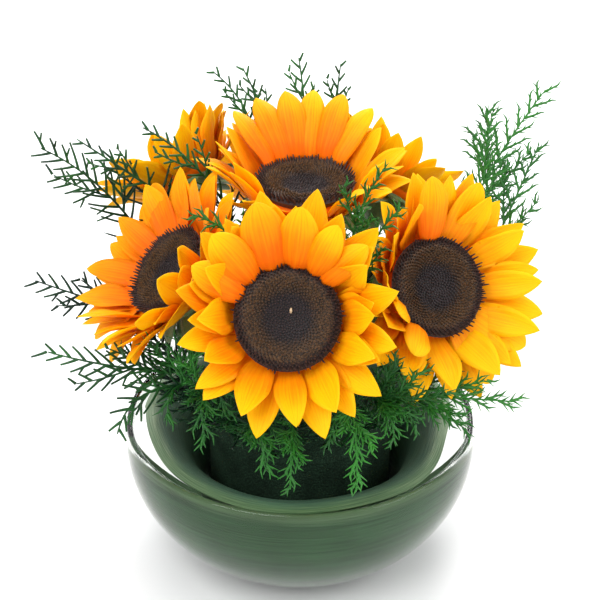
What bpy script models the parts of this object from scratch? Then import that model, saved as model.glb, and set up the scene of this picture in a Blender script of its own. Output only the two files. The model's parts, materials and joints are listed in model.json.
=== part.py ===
"""A sunflower arrangement in a low round glass bowl, in metres, +Z up, standing on the origin."""

import math
import random

import bmesh
import bpy
import numpy as np
from mathutils import Vector

GAP = 0.0003
SEED = 41

# Glass bowl: an oblate shell cut off just above its widest ring
BOWL_RADIUS = 0.1040
BOWL_DROP = 0.0835
BOWL_EQUATOR = 0.0715
BOWL_RIM = 0.0845
BOWL_WALL = 0.0034
BOWL_FLOOR = 0.0075
BOWL_STEPS = 36
BOWL_RINGS = 7
RINGS_CLOSER_UP = 1.15
LIP_RISE = 0.0014
BASE_EASE_UP = 0.0012
BASE_EASE_IN = 0.0016

# Leaves that line the bowl
LEAF_THICK = 0.0010
LINER_SPAN = math.radians(110)
LINER_LOW = 0.0098
LINER_COLUMNS = 23
LINER_TOP = 0.0825
LINER_DIP = 0.0190
DIP_POWER = 2.4
LINER_WAVE = 0.0006
RING_RADIUS = 0.0585
RING_LIP = 0.0962
RING_LIP_TOP = 0.0842
# In from the lip and up from it, from the lip down to where the wall begins
RING_ROLL = ((0.0, 0.0), (0.0048, 0.0026), (0.0098, -0.0006))
WALL_BEHIND_LIP = 0.0110
RING_WAVE = 0.0008
LINER_OFF_GLASS = 0.0007
RING_OFF_GLASS = 0.0052

# Floral foam
FOAM_RADIUS = 0.0550
FOAM_TOP = 0.1020
FOAM_STEPS = 20
HOLE_SIDES = 5
STEM_FOCUS = np.array([0.0, 0.0, 0.020])
STEM_FOOT = 0.0740

# Blooms
DISC_RADIUS = 0.0262
DISC_RINGS = 4
DISC_STEPS = 22
CORE_THICK = 0.0090
CORE_STEPS = 16
PETAL_LENGTH = 0.0440
PETAL_WIDTH = 0.0172
PETAL_THICK = 0.0014
PETAL_BROADEST = 0.52
PETAL_SECTIONS = (0.0, 0.38, 0.75)
PETAL_STEPS = 24
PETAL_TWIST = math.radians(12)
PETAL_FOLD = 0.20
PETAL_START = 6
PETAL_ROOT = 0.78
TIP_BEND = (-60, 10)
# Inner layer, then outer layer
LAYER_CUP = (8, -12)
LAYER_LENGTH = (0.96, 1.0)
LAYER_ROOT = (0.36, 0.60)
FLORET_RELIEF = 0.0013
EDGE_RELIEF = 0.02
STEM_RADIUS = 0.0042
STEM_SIDES = 5
CALYX_STEPS = 10
BRACT_LENGTH = 0.0190
NECK_BEHIND = 0.026
BEND_BEHIND = 0.056
STALK_BEHIND = 0.020
STRAIGHT_SHARE = 0.74

# Sprays of greenery
TWIG_HALF = 0.0009
NODE_LENGTH = 0.0017
BRANCHLET_LEAN = math.radians(42)
FORK_LEAN = math.radians(36)
FORK_SHARE = 0.45
FORK_OVER = 0.0110
FORK_AT = 0.40
FORK_LIFT = 0.38
SHORT_NEEDLE = 0.42
TWIG_TIP = 0.09
TOWARDS_VIEW = (0.0, -0.88, 0.47)

# name, disc centre, facing, size, petals in a layer, cup in degrees,
# and petals pushed by a neighbour as azimuth, half width and change of cup in degrees
BLOOMS = (
    ("front", (-0.006, -0.085, 0.193), (0.01, -0.88, 0.474), 1.0, 12, 42,
     ((90, 60, -8), (0, 66, 23), (180, 66, 21), (270, 50, 3))),
    ("right", (0.071, -0.031, 0.182), (0.36, -0.77, 0.52), 1.03, 12, 38,
     ((176, 64, 24), (130, 40, 14))),
    ("left", (-0.067, -0.031, 0.190), (-0.664, -0.327, 0.674), 0.98, 12, 36,
     ((340, 60, 27), (50, 40, 10), (250, 60, 14))),
    ("top", (0.003, 0.012, 0.221), (0.0, -0.12, 0.993), 1.04, 12, 46,
     ((270, 55, -26), (90, 50, 10), (139, 35, 8), (45, 35, 8), (200, 34, 13), (318, 34, 14))),
    ("back_left", (-0.070, 0.062, 0.211), (-0.50, 0.45, 0.74), 0.90, 9, 40,
     ((63, 60, 26), (147, 45, 20))),
    ("back_right", (0.054, 0.068, 0.199), (0.42, 0.60, 0.68), 0.88, 9, 40,
     ((115, 60, 18), (24, 50, 22))),
    ("back", (-0.008, 0.112, 0.184), (0.0, 0.85, 0.53), 0.90, 9, 36,
     ((90, 60, 10), (0, 45, 18), (150, 50, 24))),
)

# name, where the leafy part starts, bend, tip, pairs of branchlets, longest branchlet, roll in degrees
SPRAYS = (
    ("right_high", (0.092, 0.026, 0.188), (0.108, 0.042, 0.226), (0.143, 0.066, 0.263), 8, 0.021, 10),
    ("right_tall", (0.108, 0.042, 0.194), (0.113, 0.064, 0.216), (0.112, 0.086, 0.246), 6, 0.019, -15),
    ("right_side", (0.103, 0.004, 0.178), (0.120, 0.020, 0.208), (0.138, 0.048, 0.237), 6, 0.016, 30),
    ("left_high", (-0.092, 0.032, 0.184), (-0.113, 0.026, 0.226), (-0.141, 0.004, 0.249), 7, 0.023, 10),
    ("left_top", (-0.083, 0.0235, 0.217), (-0.104, 0.013, 0.238), (-0.123, 0.018, 0.249), 4, 0.011, 0),
    ("left_mid", (-0.098, 0.006, 0.148), (-0.120, 0.002, 0.158), (-0.151, -0.002, 0.173), 5, 0.018, 0),
    ("left_low", (-0.064, -0.053, 0.143), (-0.098, -0.063, 0.150), (-0.133, -0.063, 0.162), 6, 0.018, 10),
    ("left_droop", (-0.062, -0.062, 0.140), (-0.088, -0.082, 0.152), (-0.094, -0.087, 0.124), 4, 0.016, 0),
    ("left_front", (-0.046, -0.075, 0.144), (-0.051, -0.098, 0.160), (-0.047, -0.101, 0.131), 4, 0.015, 20),
    ("front_left", (-0.025, -0.085, 0.134), (-0.019, -0.108, 0.140), (-0.016, -0.106, 0.116), 4, 0.012, 0),
    ("front_mid", (-0.004, -0.085, 0.132), (-0.004, -0.111, 0.138), (-0.005, -0.110, 0.108), 4, 0.011, 15),
    ("front_right", (0.024, -0.082, 0.142), (0.028, -0.120, 0.158), (0.028, -0.116, 0.110), 6, 0.013, 0),
    ("front_far", (0.040, -0.075, 0.140), (0.046, -0.092, 0.148), (0.048, -0.092, 0.124), 4, 0.012, -20),
    ("right_low", (0.054, -0.058, 0.132), (0.078, -0.070, 0.138), (0.115, -0.070, 0.135), 5, 0.015, 0),
    ("back_left", (-0.027, 0.080, 0.220), (-0.029, 0.092, 0.247), (-0.054, 0.095, 0.265), 4, 0.012, 0),
    ("back_mid", (-0.016, 0.074, 0.230), (-0.026, 0.078, 0.256), (-0.034, 0.080, 0.271), 4, 0.011, 20),
    ("back_top", (0.004, 0.074, 0.232), (0.002, 0.080, 0.260), (-0.001, 0.082, 0.277), 4, 0.013, 0),
    ("back_right", (0.022, 0.072, 0.230), (0.021, 0.078, 0.258), (0.024, 0.080, 0.273), 4, 0.011, -20),
    ("between_left", (-0.026, -0.046, 0.200), (-0.029, -0.070, 0.235), (-0.053, -0.080, 0.246), 5, 0.012, 0),
    ("between_far", (-0.042, 0.014, 0.212), (-0.060, 0.006, 0.247), (-0.084, -0.004, 0.263), 5, 0.012, 0),
    ("between_right", (0.0255, -0.046, 0.206), (0.0255, -0.061, 0.240), (0.042, -0.062, 0.264), 6, 0.0105, 0),
    ("between_low", (0.030, -0.052, 0.190), (0.033, -0.062, 0.228), (0.050, -0.071, 0.246), 5, 0.010, 10),
    ("rear_left", (-0.062, 0.074, 0.146), (-0.090, 0.100, 0.150), (-0.104, 0.112, 0.124), 5, 0.016, 0),
    ("rear_mid", (0.010, 0.085, 0.134), (0.012, 0.118, 0.142), (0.014, 0.124, 0.110), 5, 0.014, 0),
    ("rear_right", (0.064, 0.070, 0.142), (0.094, 0.090, 0.146), (0.112, 0.098, 0.126), 5, 0.016, 0),
)


def unit(vector):
    return np.asarray(vector, float) / np.linalg.norm(vector)


def clear_scene():
    for thing in list(bpy.data.objects):
        bpy.data.objects.remove(thing, do_unlink=True)


def finish(name, colour, roughness, transmission=0.0):
    """A Principled material in one colour."""
    material = bpy.data.materials.new(name)
    material.use_nodes = True
    shader = material.node_tree.nodes["Principled BSDF"]
    shader.inputs["Base Color"].default_value = (*colour, 1.0)
    shader.inputs["Roughness"].default_value = roughness
    shader.inputs["Metallic"].default_value = 0.0
    shader.inputs["Transmission Weight"].default_value = transmission
    return material


def solid(name, points, faces, material=None):
    mesh = bpy.data.meshes.new(name)
    mesh.from_pydata([tuple(map(float, point)) for point in points], [], faces)
    mesh.validate()
    body = bpy.data.objects.new(name, mesh)
    bpy.context.scene.collection.objects.link(body)
    if material:
        mesh.materials.append(material)
    return body


def combine(body, others, operation):
    """One Boolean of a body with a collection of others, applied, and the others removed."""
    group = bpy.data.collections.new(body.name + " others")
    bpy.context.scene.collection.children.link(group)
    for other in others:
        bpy.context.scene.collection.objects.unlink(other)
        group.objects.link(other)
    boolean = body.modifiers.new("Combine", "BOOLEAN")
    boolean.operation = operation
    boolean.operand_type = "COLLECTION"
    boolean.collection = group
    boolean.solver = "EXACT"
    material = body.data.materials[0]
    graph = bpy.context.evaluated_depsgraph_get()
    mesh = bpy.data.meshes.new_from_object(body.evaluated_get(graph))
    body.modifiers.clear()
    body.data = mesh
    mesh.materials.clear()
    mesh.materials.append(material)
    for other in others:
        bpy.data.objects.remove(other, do_unlink=True)
    bpy.data.collections.remove(group)
    return body


def smooth(body, angle=math.radians(35)):
    body.data.shade_smooth()
    body.data.set_sharp_from_angle(angle=angle)
    return body


def turned(name, profile, steps, material, frame=np.eye(3), centre=(0.0, 0.0, 0.0)):
    """A closed body turned about its own Z, from a profile that starts and ends on the axis."""
    first, *rings, last = profile
    points = [(0.0, 0.0, first[1])]
    for radius, height in rings:
        for step in range(steps):
            angle = math.tau * step / steps
            points.append((radius * math.cos(angle), radius * math.sin(angle), height))
    points.append((0.0, 0.0, last[1]))
    faces = []
    end = len(points) - 1
    for step in range(steps):
        after = (step + 1) % steps
        faces.append((0, 1 + step, 1 + after))
        for ring in range(len(rings) - 1):
            low = 1 + ring * steps
            high = low + steps
            faces.append((low + step, high + step, high + after, low + after))
        low = 1 + (len(rings) - 1) * steps
        faces.append((low + step, end, low + after))
    placed = np.asarray(points) @ np.asarray(frame).T + np.asarray(centre)
    return solid(name, placed, faces, material)


def tube(name, path, radii, sides, material=None):
    """A closed tube along a path, with flat ends."""
    path = np.asarray(path, float)
    tangents = np.gradient(path, axis=0)
    side = unit(np.cross(tangents[0], (0.31, 0.22, 0.93)))
    points = []
    for point, tangent, radius in zip(path, tangents, radii):
        along = unit(tangent)
        side = unit(side - along * np.dot(side, along))
        across = np.cross(along, side)
        for corner in range(sides):
            angle = math.tau * corner / sides
            points.append(point + radius * (side * math.cos(angle) + across * math.sin(angle)))
    faces = [tuple(reversed(range(sides)))]
    for ring in range(len(path) - 1):
        low = ring * sides
        for corner in range(sides):
            after = (corner + 1) % sides
            faces.append((low + corner, low + after, low + sides + after, low + sides + corner))
    faces.append(tuple(range((len(path) - 1) * sides, len(path) * sides)))
    return solid(name, points, faces, material)


def curve(start, bend, end, count):
    """Points along a quadratic curve."""
    start, bend, end = (np.asarray(point, float) for point in (start, bend, end))
    shares = np.linspace(0, 1, count)[:, None]
    return (1 - shares) ** 2 * start + 2 * shares * (1 - shares) * bend + shares**2 * end


def bowl_radius(height, inset=0.0):
    """The bowl's outer radius at a height, less an inset that follows the wall."""
    drop = (BOWL_EQUATOR - height) / (BOWL_DROP - inset)
    return (BOWL_RADIUS - inset) * math.sqrt(max(0.0, 1 - drop * drop))


def ring_heights(lowest):
    """Heights from the bowl's rim down to the lowest, closer together near the rim."""
    shares = [(ring / BOWL_RINGS) ** RINGS_CLOSER_UP for ring in range(BOWL_RINGS + 1)]
    return [BOWL_RIM - (BOWL_RIM - lowest) * share for share in shares]


def glass_bowl(material):
    outer = [(bowl_radius(height), height) for height in ring_heights(BASE_EASE_UP)]
    base = [(bowl_radius(0.0) - BASE_EASE_IN, 0.0)]
    inner = [(bowl_radius(height, BOWL_WALL), height) for height in reversed(ring_heights(BOWL_FLOOR))]
    middle = bowl_radius(BOWL_RIM) - BOWL_WALL / 2
    lip = [(middle - 0.0007, BOWL_RIM + LIP_RISE), (middle + 0.0006, BOWL_RIM + LIP_RISE)]
    profile = [(0.0, BOWL_FLOOR)] + inner + lip + outer + base + [(0.0, 0.0)]
    bowl = turned("glass_bowl", profile, BOWL_STEPS, material)
    return smooth(bowl)


def sheet(name, grid, material, closed_round):
    """A thin leaf from a grid of points, thickened towards the bowl's axis; it may close on itself."""
    rows, columns = len(grid), len(grid[0])
    outer = np.asarray(grid, float)
    outwards = outer * (1, 1, 0)
    outwards /= np.linalg.norm(outwards, axis=2, keepdims=True)
    slope = np.gradient(outer, axis=0)
    run = np.sum(slope * outwards, axis=2, keepdims=True)
    normal = run * (0, 0, 1) - slope[..., 2:] * outwards
    normal /= np.linalg.norm(normal, axis=2, keepdims=True)
    points = np.concatenate([outer.reshape(-1, 3), (outer + normal * LEAF_THICK).reshape(-1, 3)])
    half = rows * columns
    wraps = columns if closed_round else columns - 1
    faces = []
    for row in range(rows - 1):
        for column in range(wraps):
            after = (column + 1) % columns
            a, b = row * columns + column, row * columns + after
            c, d = b + columns, a + columns
            faces += [(a, b, c, d), (half + a, half + d, half + c, half + b)]
    for column in range(wraps):
        after = (column + 1) % columns
        top = (rows - 1) * columns
        faces.append((column, half + column, half + after, after))
        faces.append((top + column, top + after, half + top + after, half + top + column))
    if not closed_round:
        for row in range(rows - 1):
            a, d = row * columns, (row + 1) * columns
            faces.append((a, d, half + d, half + a))
            b, c = a + columns - 1, d + columns - 1
            faces.append((b, half + b, half + c, c))
    return smooth(solid(name, points, faces, material))


def leaf_liner(material):
    """The broad leaf pressed against the glass round the front of the bowl."""
    rows, columns = 5, LINER_COLUMNS
    grid = []
    for row in range(rows):
        line = []
        for column in range(columns):
            across = 2 * column / (columns - 1) - 1
            angle = -math.pi / 2 + across * LINER_SPAN
            aside = abs(across) * LINER_SPAN / (math.pi / 2)
            top = LINER_TOP - LINER_DIP * aside**DIP_POWER - LINER_WAVE * math.sin(5 * angle)
            height = LINER_LOW + (top - LINER_LOW) * row / (rows - 1)
            radius = bowl_radius(height, BOWL_WALL) - LINER_OFF_GLASS
            line.append((radius * math.cos(angle), radius * math.sin(angle), height))
        grid.append(line)
    return sheet("leaf_liner", grid, material, False)


def ring_pull(angle):
    """How far the inner leaf stands in from the glass: little in front, more at the sides and back."""
    side = 0.5 + 0.5 * math.sin(angle)
    return 0.0085 * side + 0.0060 * math.exp(-((angle + 0.25) / 0.45) ** 2)


def leaf_ring(material):
    """The inner leaf, rolled into a ring whose pale upper margin rolls out to the rim."""
    wall_rows, columns = 3, 24
    foot = BOWL_FLOOR + GAP
    roll_start = RING_LIP_TOP + RING_ROLL[-1][1]
    grid = []
    for row in range(wall_rows + len(RING_ROLL)):
        share = row / (wall_rows + len(RING_ROLL) - 1)
        line = []
        for column in range(columns):
            angle = math.tau * column / columns - math.pi
            pull = ring_pull(angle)
            if row < wall_rows:
                height = foot + (roll_start - foot) * row / wall_rows
                wall = bowl_radius(height, BOWL_WALL) - RING_OFF_GLASS - pull * share
                radius = max(RING_RADIUS, min(wall, RING_LIP - WALL_BEHIND_LIP - pull * share))
            else:
                inset, rise = RING_ROLL[wall_rows - 1 - row]
                radius, height = RING_LIP - pull - inset, RING_LIP_TOP + rise
            radius += RING_WAVE * math.sin(7 * angle + 1) * share
            line.append((radius * math.cos(angle), radius * math.sin(angle), height))
        grid.append(line)
    return sheet("leaf_ring", grid, material, True)


def bloom_frame(facing):
    """Columns: right, up and out of a bloom that faces a direction."""
    out = unit(facing)
    right = unit(np.cross((0.0, 0.46, 0.888), out))
    return np.array([right, np.cross(out, right), out]).T


def petal_breadth(share):
    """Half width along a petal, as a share of its greatest."""
    if share < PETAL_BROADEST:
        return 0.40 + 0.60 * math.sin(0.5 * math.pi * share / PETAL_BROADEST)
    past = (share - PETAL_BROADEST) / (1 - PETAL_BROADEST)
    return (1 - past**1.9) ** 0.85


def blade(name, azimuth, root, length, width, thick, angles, twist, fold, frame, centre):
    """A pointed blade with an arched, four-sided section, in a bloom's own frame."""
    radial = np.array([math.cos(azimuth), math.sin(azimuth), 0.0])
    around = np.array([-math.sin(azimuth), math.cos(azimuth), 0.0])
    axis = np.array([0.0, 0.0, 1.0])
    start, cup, tip_bend = angles
    point = radial * root[0] + axis * root[1]
    points = []
    sections = {round(share * PETAL_STEPS) for share in PETAL_SECTIONS}
    for step in range(PETAL_STEPS + 1):
        share = step / PETAL_STEPS
        rise = min(1.0, share / 0.30)
        lift = start + (cup - start) * rise * rise * (3 - 2 * rise) + tip_bend * max(0.0, share - 0.55)
        along = radial * math.cos(lift) + axis * math.sin(lift)
        normal = axis * math.cos(lift) - radial * math.sin(lift)
        if step in sections:
            half = 0.5 * width * petal_breadth(share)
            side = around * math.cos(twist) + normal * math.sin(twist)
            up = normal * math.cos(twist) - around * math.sin(twist)
            points += [
                point - side * half + up * fold * half,
                point - up * thick / 2,
                point + side * half + up * fold * half,
                point + up * thick / 2,
            ]
        if step < PETAL_STEPS:
            point = point + along * length / PETAL_STEPS
    points.append(point)
    faces = [(3, 2, 1, 0)]
    tip = len(points) - 1
    for ring in range(0, tip - 4, 4):
        for corner in range(4):
            after = (corner + 1) % 4
            faces.append((ring + corner, ring + after, ring + 4 + after))
            faces.append((ring + corner, ring + 4 + after, ring + 4 + corner))
    last = tip - 4
    faces += [(last + corner, last + (corner + 1) % 4, tip) for corner in range(4)]
    placed = np.asarray(points) @ frame.T + centre
    return solid(name, placed, faces)


def pushed(azimuth, pushes):
    """The change of cup, in degrees, where a neighbour pushes the petals of a bloom."""
    change = 0.0
    for middle, half_width, degrees in pushes:
        away = abs((math.degrees(azimuth) - middle + 180) % 360 - 180) / half_width
        if away < 1:
            change += degrees * (1 - away * away) ** 2
    return change


def petals(name, centre, facing, size, count, cup, pushes, material, seed):
    """Two layers of ray petals on a core, which the disc lies on."""
    rng = random.Random(seed)
    frame = bloom_frame(facing)
    radius = DISC_RADIUS * size
    thick = CORE_THICK * size
    profile = [
        (0.0, -thick),
        (radius * 0.84, -thick),
        (radius * 0.95, -thick * 0.55),
        (radius * 0.93, 0.0),
        (0.0, 0.0),
    ]
    core = turned(f"{name}_petals", profile, CORE_STEPS, material, frame, centre)
    blades = []
    for layer in range(2):
        for index in range(count):
            azimuth = math.tau * (index + 0.5 * layer) / count + rng.uniform(-0.05, 0.05)
            cup_here = cup + LAYER_CUP[layer] + rng.uniform(-4, 4) + pushed(azimuth, pushes)
            length = PETAL_LENGTH * size * rng.uniform(0.94, 1.04) * LAYER_LENGTH[layer]
            width = PETAL_WIDTH * size * rng.uniform(0.92, 1.06)
            angles = [math.radians(angle) for angle in (PETAL_START, cup_here, rng.uniform(*TIP_BEND))]
            root = (radius * PETAL_ROOT, -thick * LAYER_ROOT[layer])
            blades.append(
                blade("petal", azimuth, root, length, width, PETAL_THICK, angles,
                      PETAL_TWIST, PETAL_FOLD, frame, np.asarray(centre))
            )
    return smooth(combine(core, blades, "UNION"), math.radians(50))


def disc_height(share):
    """The seed head's profile from its middle to its edge."""
    shoulder = 0.0036 * math.exp(-(((share - 0.80) / 0.26) ** 2))
    dish = 0.0008 * math.exp(-((share / 0.3) ** 2))
    return 0.0030 + shoulder - dish


def disc(name, centre, facing, size, material):
    """The seed head: a dished pad whose florets stand up in staggered rings."""
    frame = bloom_frame(facing)
    radius = DISC_RADIUS * size
    points = [(0.0, 0.0, GAP + disc_height(0.0) * size)]
    for ring in range(1, DISC_RINGS + 1):
        share = ring / DISC_RINGS
        for step in range(DISC_STEPS):
            angle = math.tau * (step + 0.5 * (ring % 2)) / DISC_STEPS
            raised = 1 if (step + ring) % 2 else -1
            height = (disc_height(share) + FLORET_RELIEF * share * raised) * size
            out = radius * share * (1 + (EDGE_RELIEF * raised if ring == DISC_RINGS else 0.0))
            points.append((out * math.cos(angle), out * math.sin(angle), GAP + height))
    base_ring = len(points)
    for step in range(DISC_STEPS):
        angle = math.tau * step / DISC_STEPS
        points.append((radius * 0.86 * math.cos(angle), radius * 0.86 * math.sin(angle), GAP))
    points.append((0.0, 0.0, GAP))
    faces = []
    for step in range(DISC_STEPS):
        after = (step + 1) % DISC_STEPS
        faces.append((0, 1 + step, 1 + after))
        for ring in range(1, DISC_RINGS):
            low = 1 + (ring - 1) * DISC_STEPS
            high = low + DISC_STEPS
            if ring % 2:
                faces.append((low + step, high + step, high + after))
                faces.append((low + step, high + after, low + after))
            else:
                faces.append((low + step, high + step, low + after))
                faces.append((low + after, high + step, high + after))
        edge = 1 + (DISC_RINGS - 1) * DISC_STEPS
        faces.append((edge + step, base_ring + step, edge + after))
        faces.append((edge + after, base_ring + step, base_ring + after))
        faces.append((base_ring + step, len(points) - 1, base_ring + after))
    placed = np.asarray(points) @ frame.T + np.asarray(centre)
    return solid(f"{name}_disc", placed, faces, material)


def foot_of(point):
    """Where a straight stem that points at the focus ends inside the foam."""
    way = np.asarray(point, float) - STEM_FOCUS
    return STEM_FOCUS + way * (STEM_FOOT - STEM_FOCUS[2]) / way[2]


def bloom_stem_line(centre, facing, size):
    """Where a bloom's stem leaves its calyx, bends, and runs straight into the foam."""
    out = unit(facing)
    neck = np.asarray(centre) - out * NECK_BEHIND * size
    bend = np.asarray(centre) - out * BEND_BEHIND
    straight = STEM_FOCUS + STRAIGHT_SHARE * (bend - STEM_FOCUS)
    return neck, bend, straight, foot_of(bend)


def stem(name, centre, facing, size, material):
    """The green calyx behind a bloom with its pointed bracts, and the stem down into the foam."""
    frame = bloom_frame(facing)
    radius = DISC_RADIUS * size
    top = -CORE_THICK * size - GAP
    profile = [
        (0.0, top - 0.0170 * size),
        (STEM_RADIUS * 1.5, top - 0.0150 * size),
        (radius * 0.50, top - 0.0085 * size),
        (radius * 0.82, top - 0.0032 * size),
        (radius * 0.84, top),
        (0.0, top),
    ]
    calyx = turned(f"{name}_stem", profile, CALYX_STEPS, material, frame, centre)
    pull_bracts(calyx, np.asarray(centre), unit(facing), radius * 0.80, size)
    neck, bend, straight, end = bloom_stem_line(centre, facing, size)
    inside = np.asarray(centre) - unit(facing) * STALK_BEHIND * size
    path = [inside] + list(curve(neck, bend, straight, 4)) + [end]
    stalk = tube("stalk", path, [STEM_RADIUS] * len(path), STEM_SIDES)
    return smooth(combine(calyx, [stalk], "UNION"), math.radians(50))


def pull_bracts(calyx, centre, out, beyond, size):
    """Draws the middle of each face round the calyx's upper edge out to a pointed bract."""
    shape = bmesh.new()
    shape.from_mesh(calyx.data)
    band = []
    for face in shape.faces:
        away = np.array(face.calc_center_median()) - centre
        if np.linalg.norm(away - out * np.dot(away, out)) > beyond * 0.97 and len(face.verts) == 4:
            band.append(face)
    for point in bmesh.ops.poke(shape, faces=band)["verts"]:
        away = np.array(point.co) - centre
        sideways = unit(away - out * np.dot(away, out))
        point.co = Vector(np.array(point.co) + (sideways - out * 0.10) * BRACT_LENGTH * size)
    shape.to_mesh(calyx.data)
    shape.free()


def raise_spike(points, faces, base, tip):
    """A point raised from a four-cornered face, given by its corners."""
    points.append(np.asarray(tip))
    end = len(points) - 1
    faces += [(base[corner], base[(corner + 1) % 4], end) for corner in range(4)]


def raise_branchlet(points, faces, base, direction, outwards, lift, length):
    """A branchlet raised from a face of the twig; a long one forks to both sides on its way."""
    centre = sum(points[corner] for corner in base) / 4
    tip = centre + direction * length
    if length < FORK_OVER:
        raise_spike(points, faces, base, tip)
        return
    ring = base
    for share, shrink in ((FORK_AT, 0.80), (FORK_AT + NODE_LENGTH / length, 0.75)):
        start = len(points)
        middle = centre + direction * length * share
        points += [middle + (points[corner] - centre) * shrink for corner in base]
        after = [start + corner for corner in range(4)]
        for corner in range(4):
            beside = (corner + 1) % 4
            face = (ring[corner], ring[beside], after[beside], after[corner])
            if shrink > 0.75 or corner % 2:
                faces.append(face)
                continue
            way = 1 if corner == 0 else -1
            turn = way * FORK_LEAN
            fork = direction * math.cos(turn) + outwards * math.sin(turn) + lift * way
            root = sum(points[index] for index in face) / 4
            raise_spike(points, faces, face, root + unit(fork) * length * FORK_SHARE)
        ring = after
    raise_spike(points, faces, ring, tip)


def carried_sides(directions):
    """A side for each direction along a twig, square to the view at its tip and carried back unturned."""
    sides = [unit(np.cross(directions[-1], TOWARDS_VIEW))]
    for along in reversed(directions[:-1]):
        sides.append(unit(sides[-1] - along * np.dot(sides[-1], along)))
    return sides[::-1]


def spray(name, base, bend, tip, pairs, reach, roll, material, seed):
    """A leafy twig in one surface, with pairs of branchlets and short needles on its stem."""
    rng = random.Random(seed)
    fine = curve(base, bend, tip, 101)
    length = np.linalg.norm(np.diff(fine, axis=0), axis=1).sum()
    points = []
    faces = []
    ring = None
    places = [(foot_of(base), unit(np.asarray(base) - foot_of(base)), None)]
    for pair in range(pairs):
        share = 0.03 + 0.87 * pair / (pairs - 1)
        at = int(round(share * 99))
        along = unit(fine[at + 1] - fine[at])
        places.append((fine[at], along, None))
        places.append((fine[at] + along * NODE_LENGTH, along, share))
    sides = carried_sides([along for _, along, _ in places])
    for index, ((place, along, share), side) in enumerate(zip(places, sides)):
        normal = np.cross(side, along)
        turn = math.radians(roll)
        side = side * math.cos(turn) + normal * math.sin(turn)
        normal = np.cross(side, along)
        half = TWIG_HALF * (1 - 0.35 * index / len(places))
        start = len(points)
        points += [place + half * (side * a + normal * b) for a, b in ((1, 1), (-1, 1), (-1, -1), (1, -1))]
        after = [start + corner for corner in range(4)]
        if ring is None:
            faces.append(tuple(after))
            ring = after
            continue
        for corner in range(4):
            beside = (corner + 1) % 4
            face = (ring[beside], ring[corner], after[corner], after[beside])
            if share is None or (corner == 2 and pairs > 4) or (corner == 0 and index % 4):
                faces.append(face)
                continue
            outwards = (normal, -side, -normal, side)[corner]
            lean = BRANCHLET_LEAN * rng.uniform(0.85, 1.15)
            swing = rng.uniform(-0.22, 0.22) * (normal if corner % 2 else side)
            direction = unit(along * math.cos(lean) + outwards * math.sin(lean) + swing)
            beyond = unit(outwards * math.cos(lean) - along * math.sin(lean))
            if corner % 2:
                size = reach * (1.0 - 0.55 * share) * rng.uniform(0.88, 1.08)
                raise_branchlet(points, faces, face, direction, beyond, normal * FORK_LIFT, size)
            else:
                size = reach * SHORT_NEEDLE * rng.uniform(0.8, 1.1)
                raise_spike(points, faces, face, place + direction * size)
        ring = after
    last, along, _ = places[-1]
    raise_spike(points, faces, ring[::-1], last + along * length * TWIG_TIP)
    return solid(f"{name}_spray", points, faces, material)


def foam(material):
    """The wet foam block that holds every stem, with a plain hole for each."""
    profile = [
        (0.0, BOWL_FLOOR + GAP),
        (FOAM_RADIUS, BOWL_FLOOR + GAP),
        (FOAM_RADIUS, FOAM_TOP - 0.018),
        (FOAM_RADIUS - 0.006, FOAM_TOP - 0.006),
        (FOAM_RADIUS - 0.017, FOAM_TOP),
        (0.0, FOAM_TOP),
    ]
    block = turned("floral_foam", profile, FOAM_STEPS, material)
    lines = [(bloom_stem_line(*bloom[1:4])[2], STEM_RADIUS) for bloom in BLOOMS]
    lines += [(row[1], TWIG_HALF * math.sqrt(2)) for row in SPRAYS]
    cutters = []
    for outside, radius in lines:
        foot = foot_of(outside)
        deeper = foot - unit(np.asarray(outside) - foot) * 0.001
        wide = (radius + GAP) / math.cos(math.pi / HOLE_SIDES)
        cutters.append(tube("hole", [deeper, outside], [wide] * 2, HOLE_SIDES))
    return combine(block, cutters, "DIFFERENCE")


def main():
    clear_scene()
    glass = finish("Clear glass", (0.92, 0.96, 0.93), 0.03, 1.0)
    leaf = finish("Deep green leaf", (0.045, 0.12, 0.05), 0.45)
    pale_leaf = finish("Pale margined leaf", (0.16, 0.28, 0.12), 0.45)
    wet_foam = finish("Green wet foam", (0.05, 0.10, 0.05), 0.90)
    yellow = finish("Golden petal", (0.95, 0.42, 0.01), 0.50)
    brown = finish("Dark brown florets", (0.035, 0.016, 0.010), 0.80)
    green = finish("Green stem", (0.10, 0.22, 0.05), 0.55)
    needle = finish("Dark green needles", (0.03, 0.13, 0.04), 0.50)
    glass_bowl(glass)
    leaf_liner(leaf)
    leaf_ring(pale_leaf)
    foam(wet_foam)
    for order, (name, centre, facing, size, count, cup, pushes) in enumerate(BLOOMS):
        petals(name, centre, facing, size, count, cup, pushes, yellow, SEED + order)
        disc(name, centre, facing, size, brown)
        stem(name, centre, facing, size, green)
    for order, (name, base, bend, tip, count, reach, roll) in enumerate(SPRAYS):
        spray(name, base, bend, tip, count, reach, roll, needle, SEED + 100 + order)


main()
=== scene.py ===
"""A sunflower arrangement in a low round glass bowl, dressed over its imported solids."""

import json
import math
import random

import bpy
import numpy as np
from mathutils import Matrix, Vector

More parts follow.
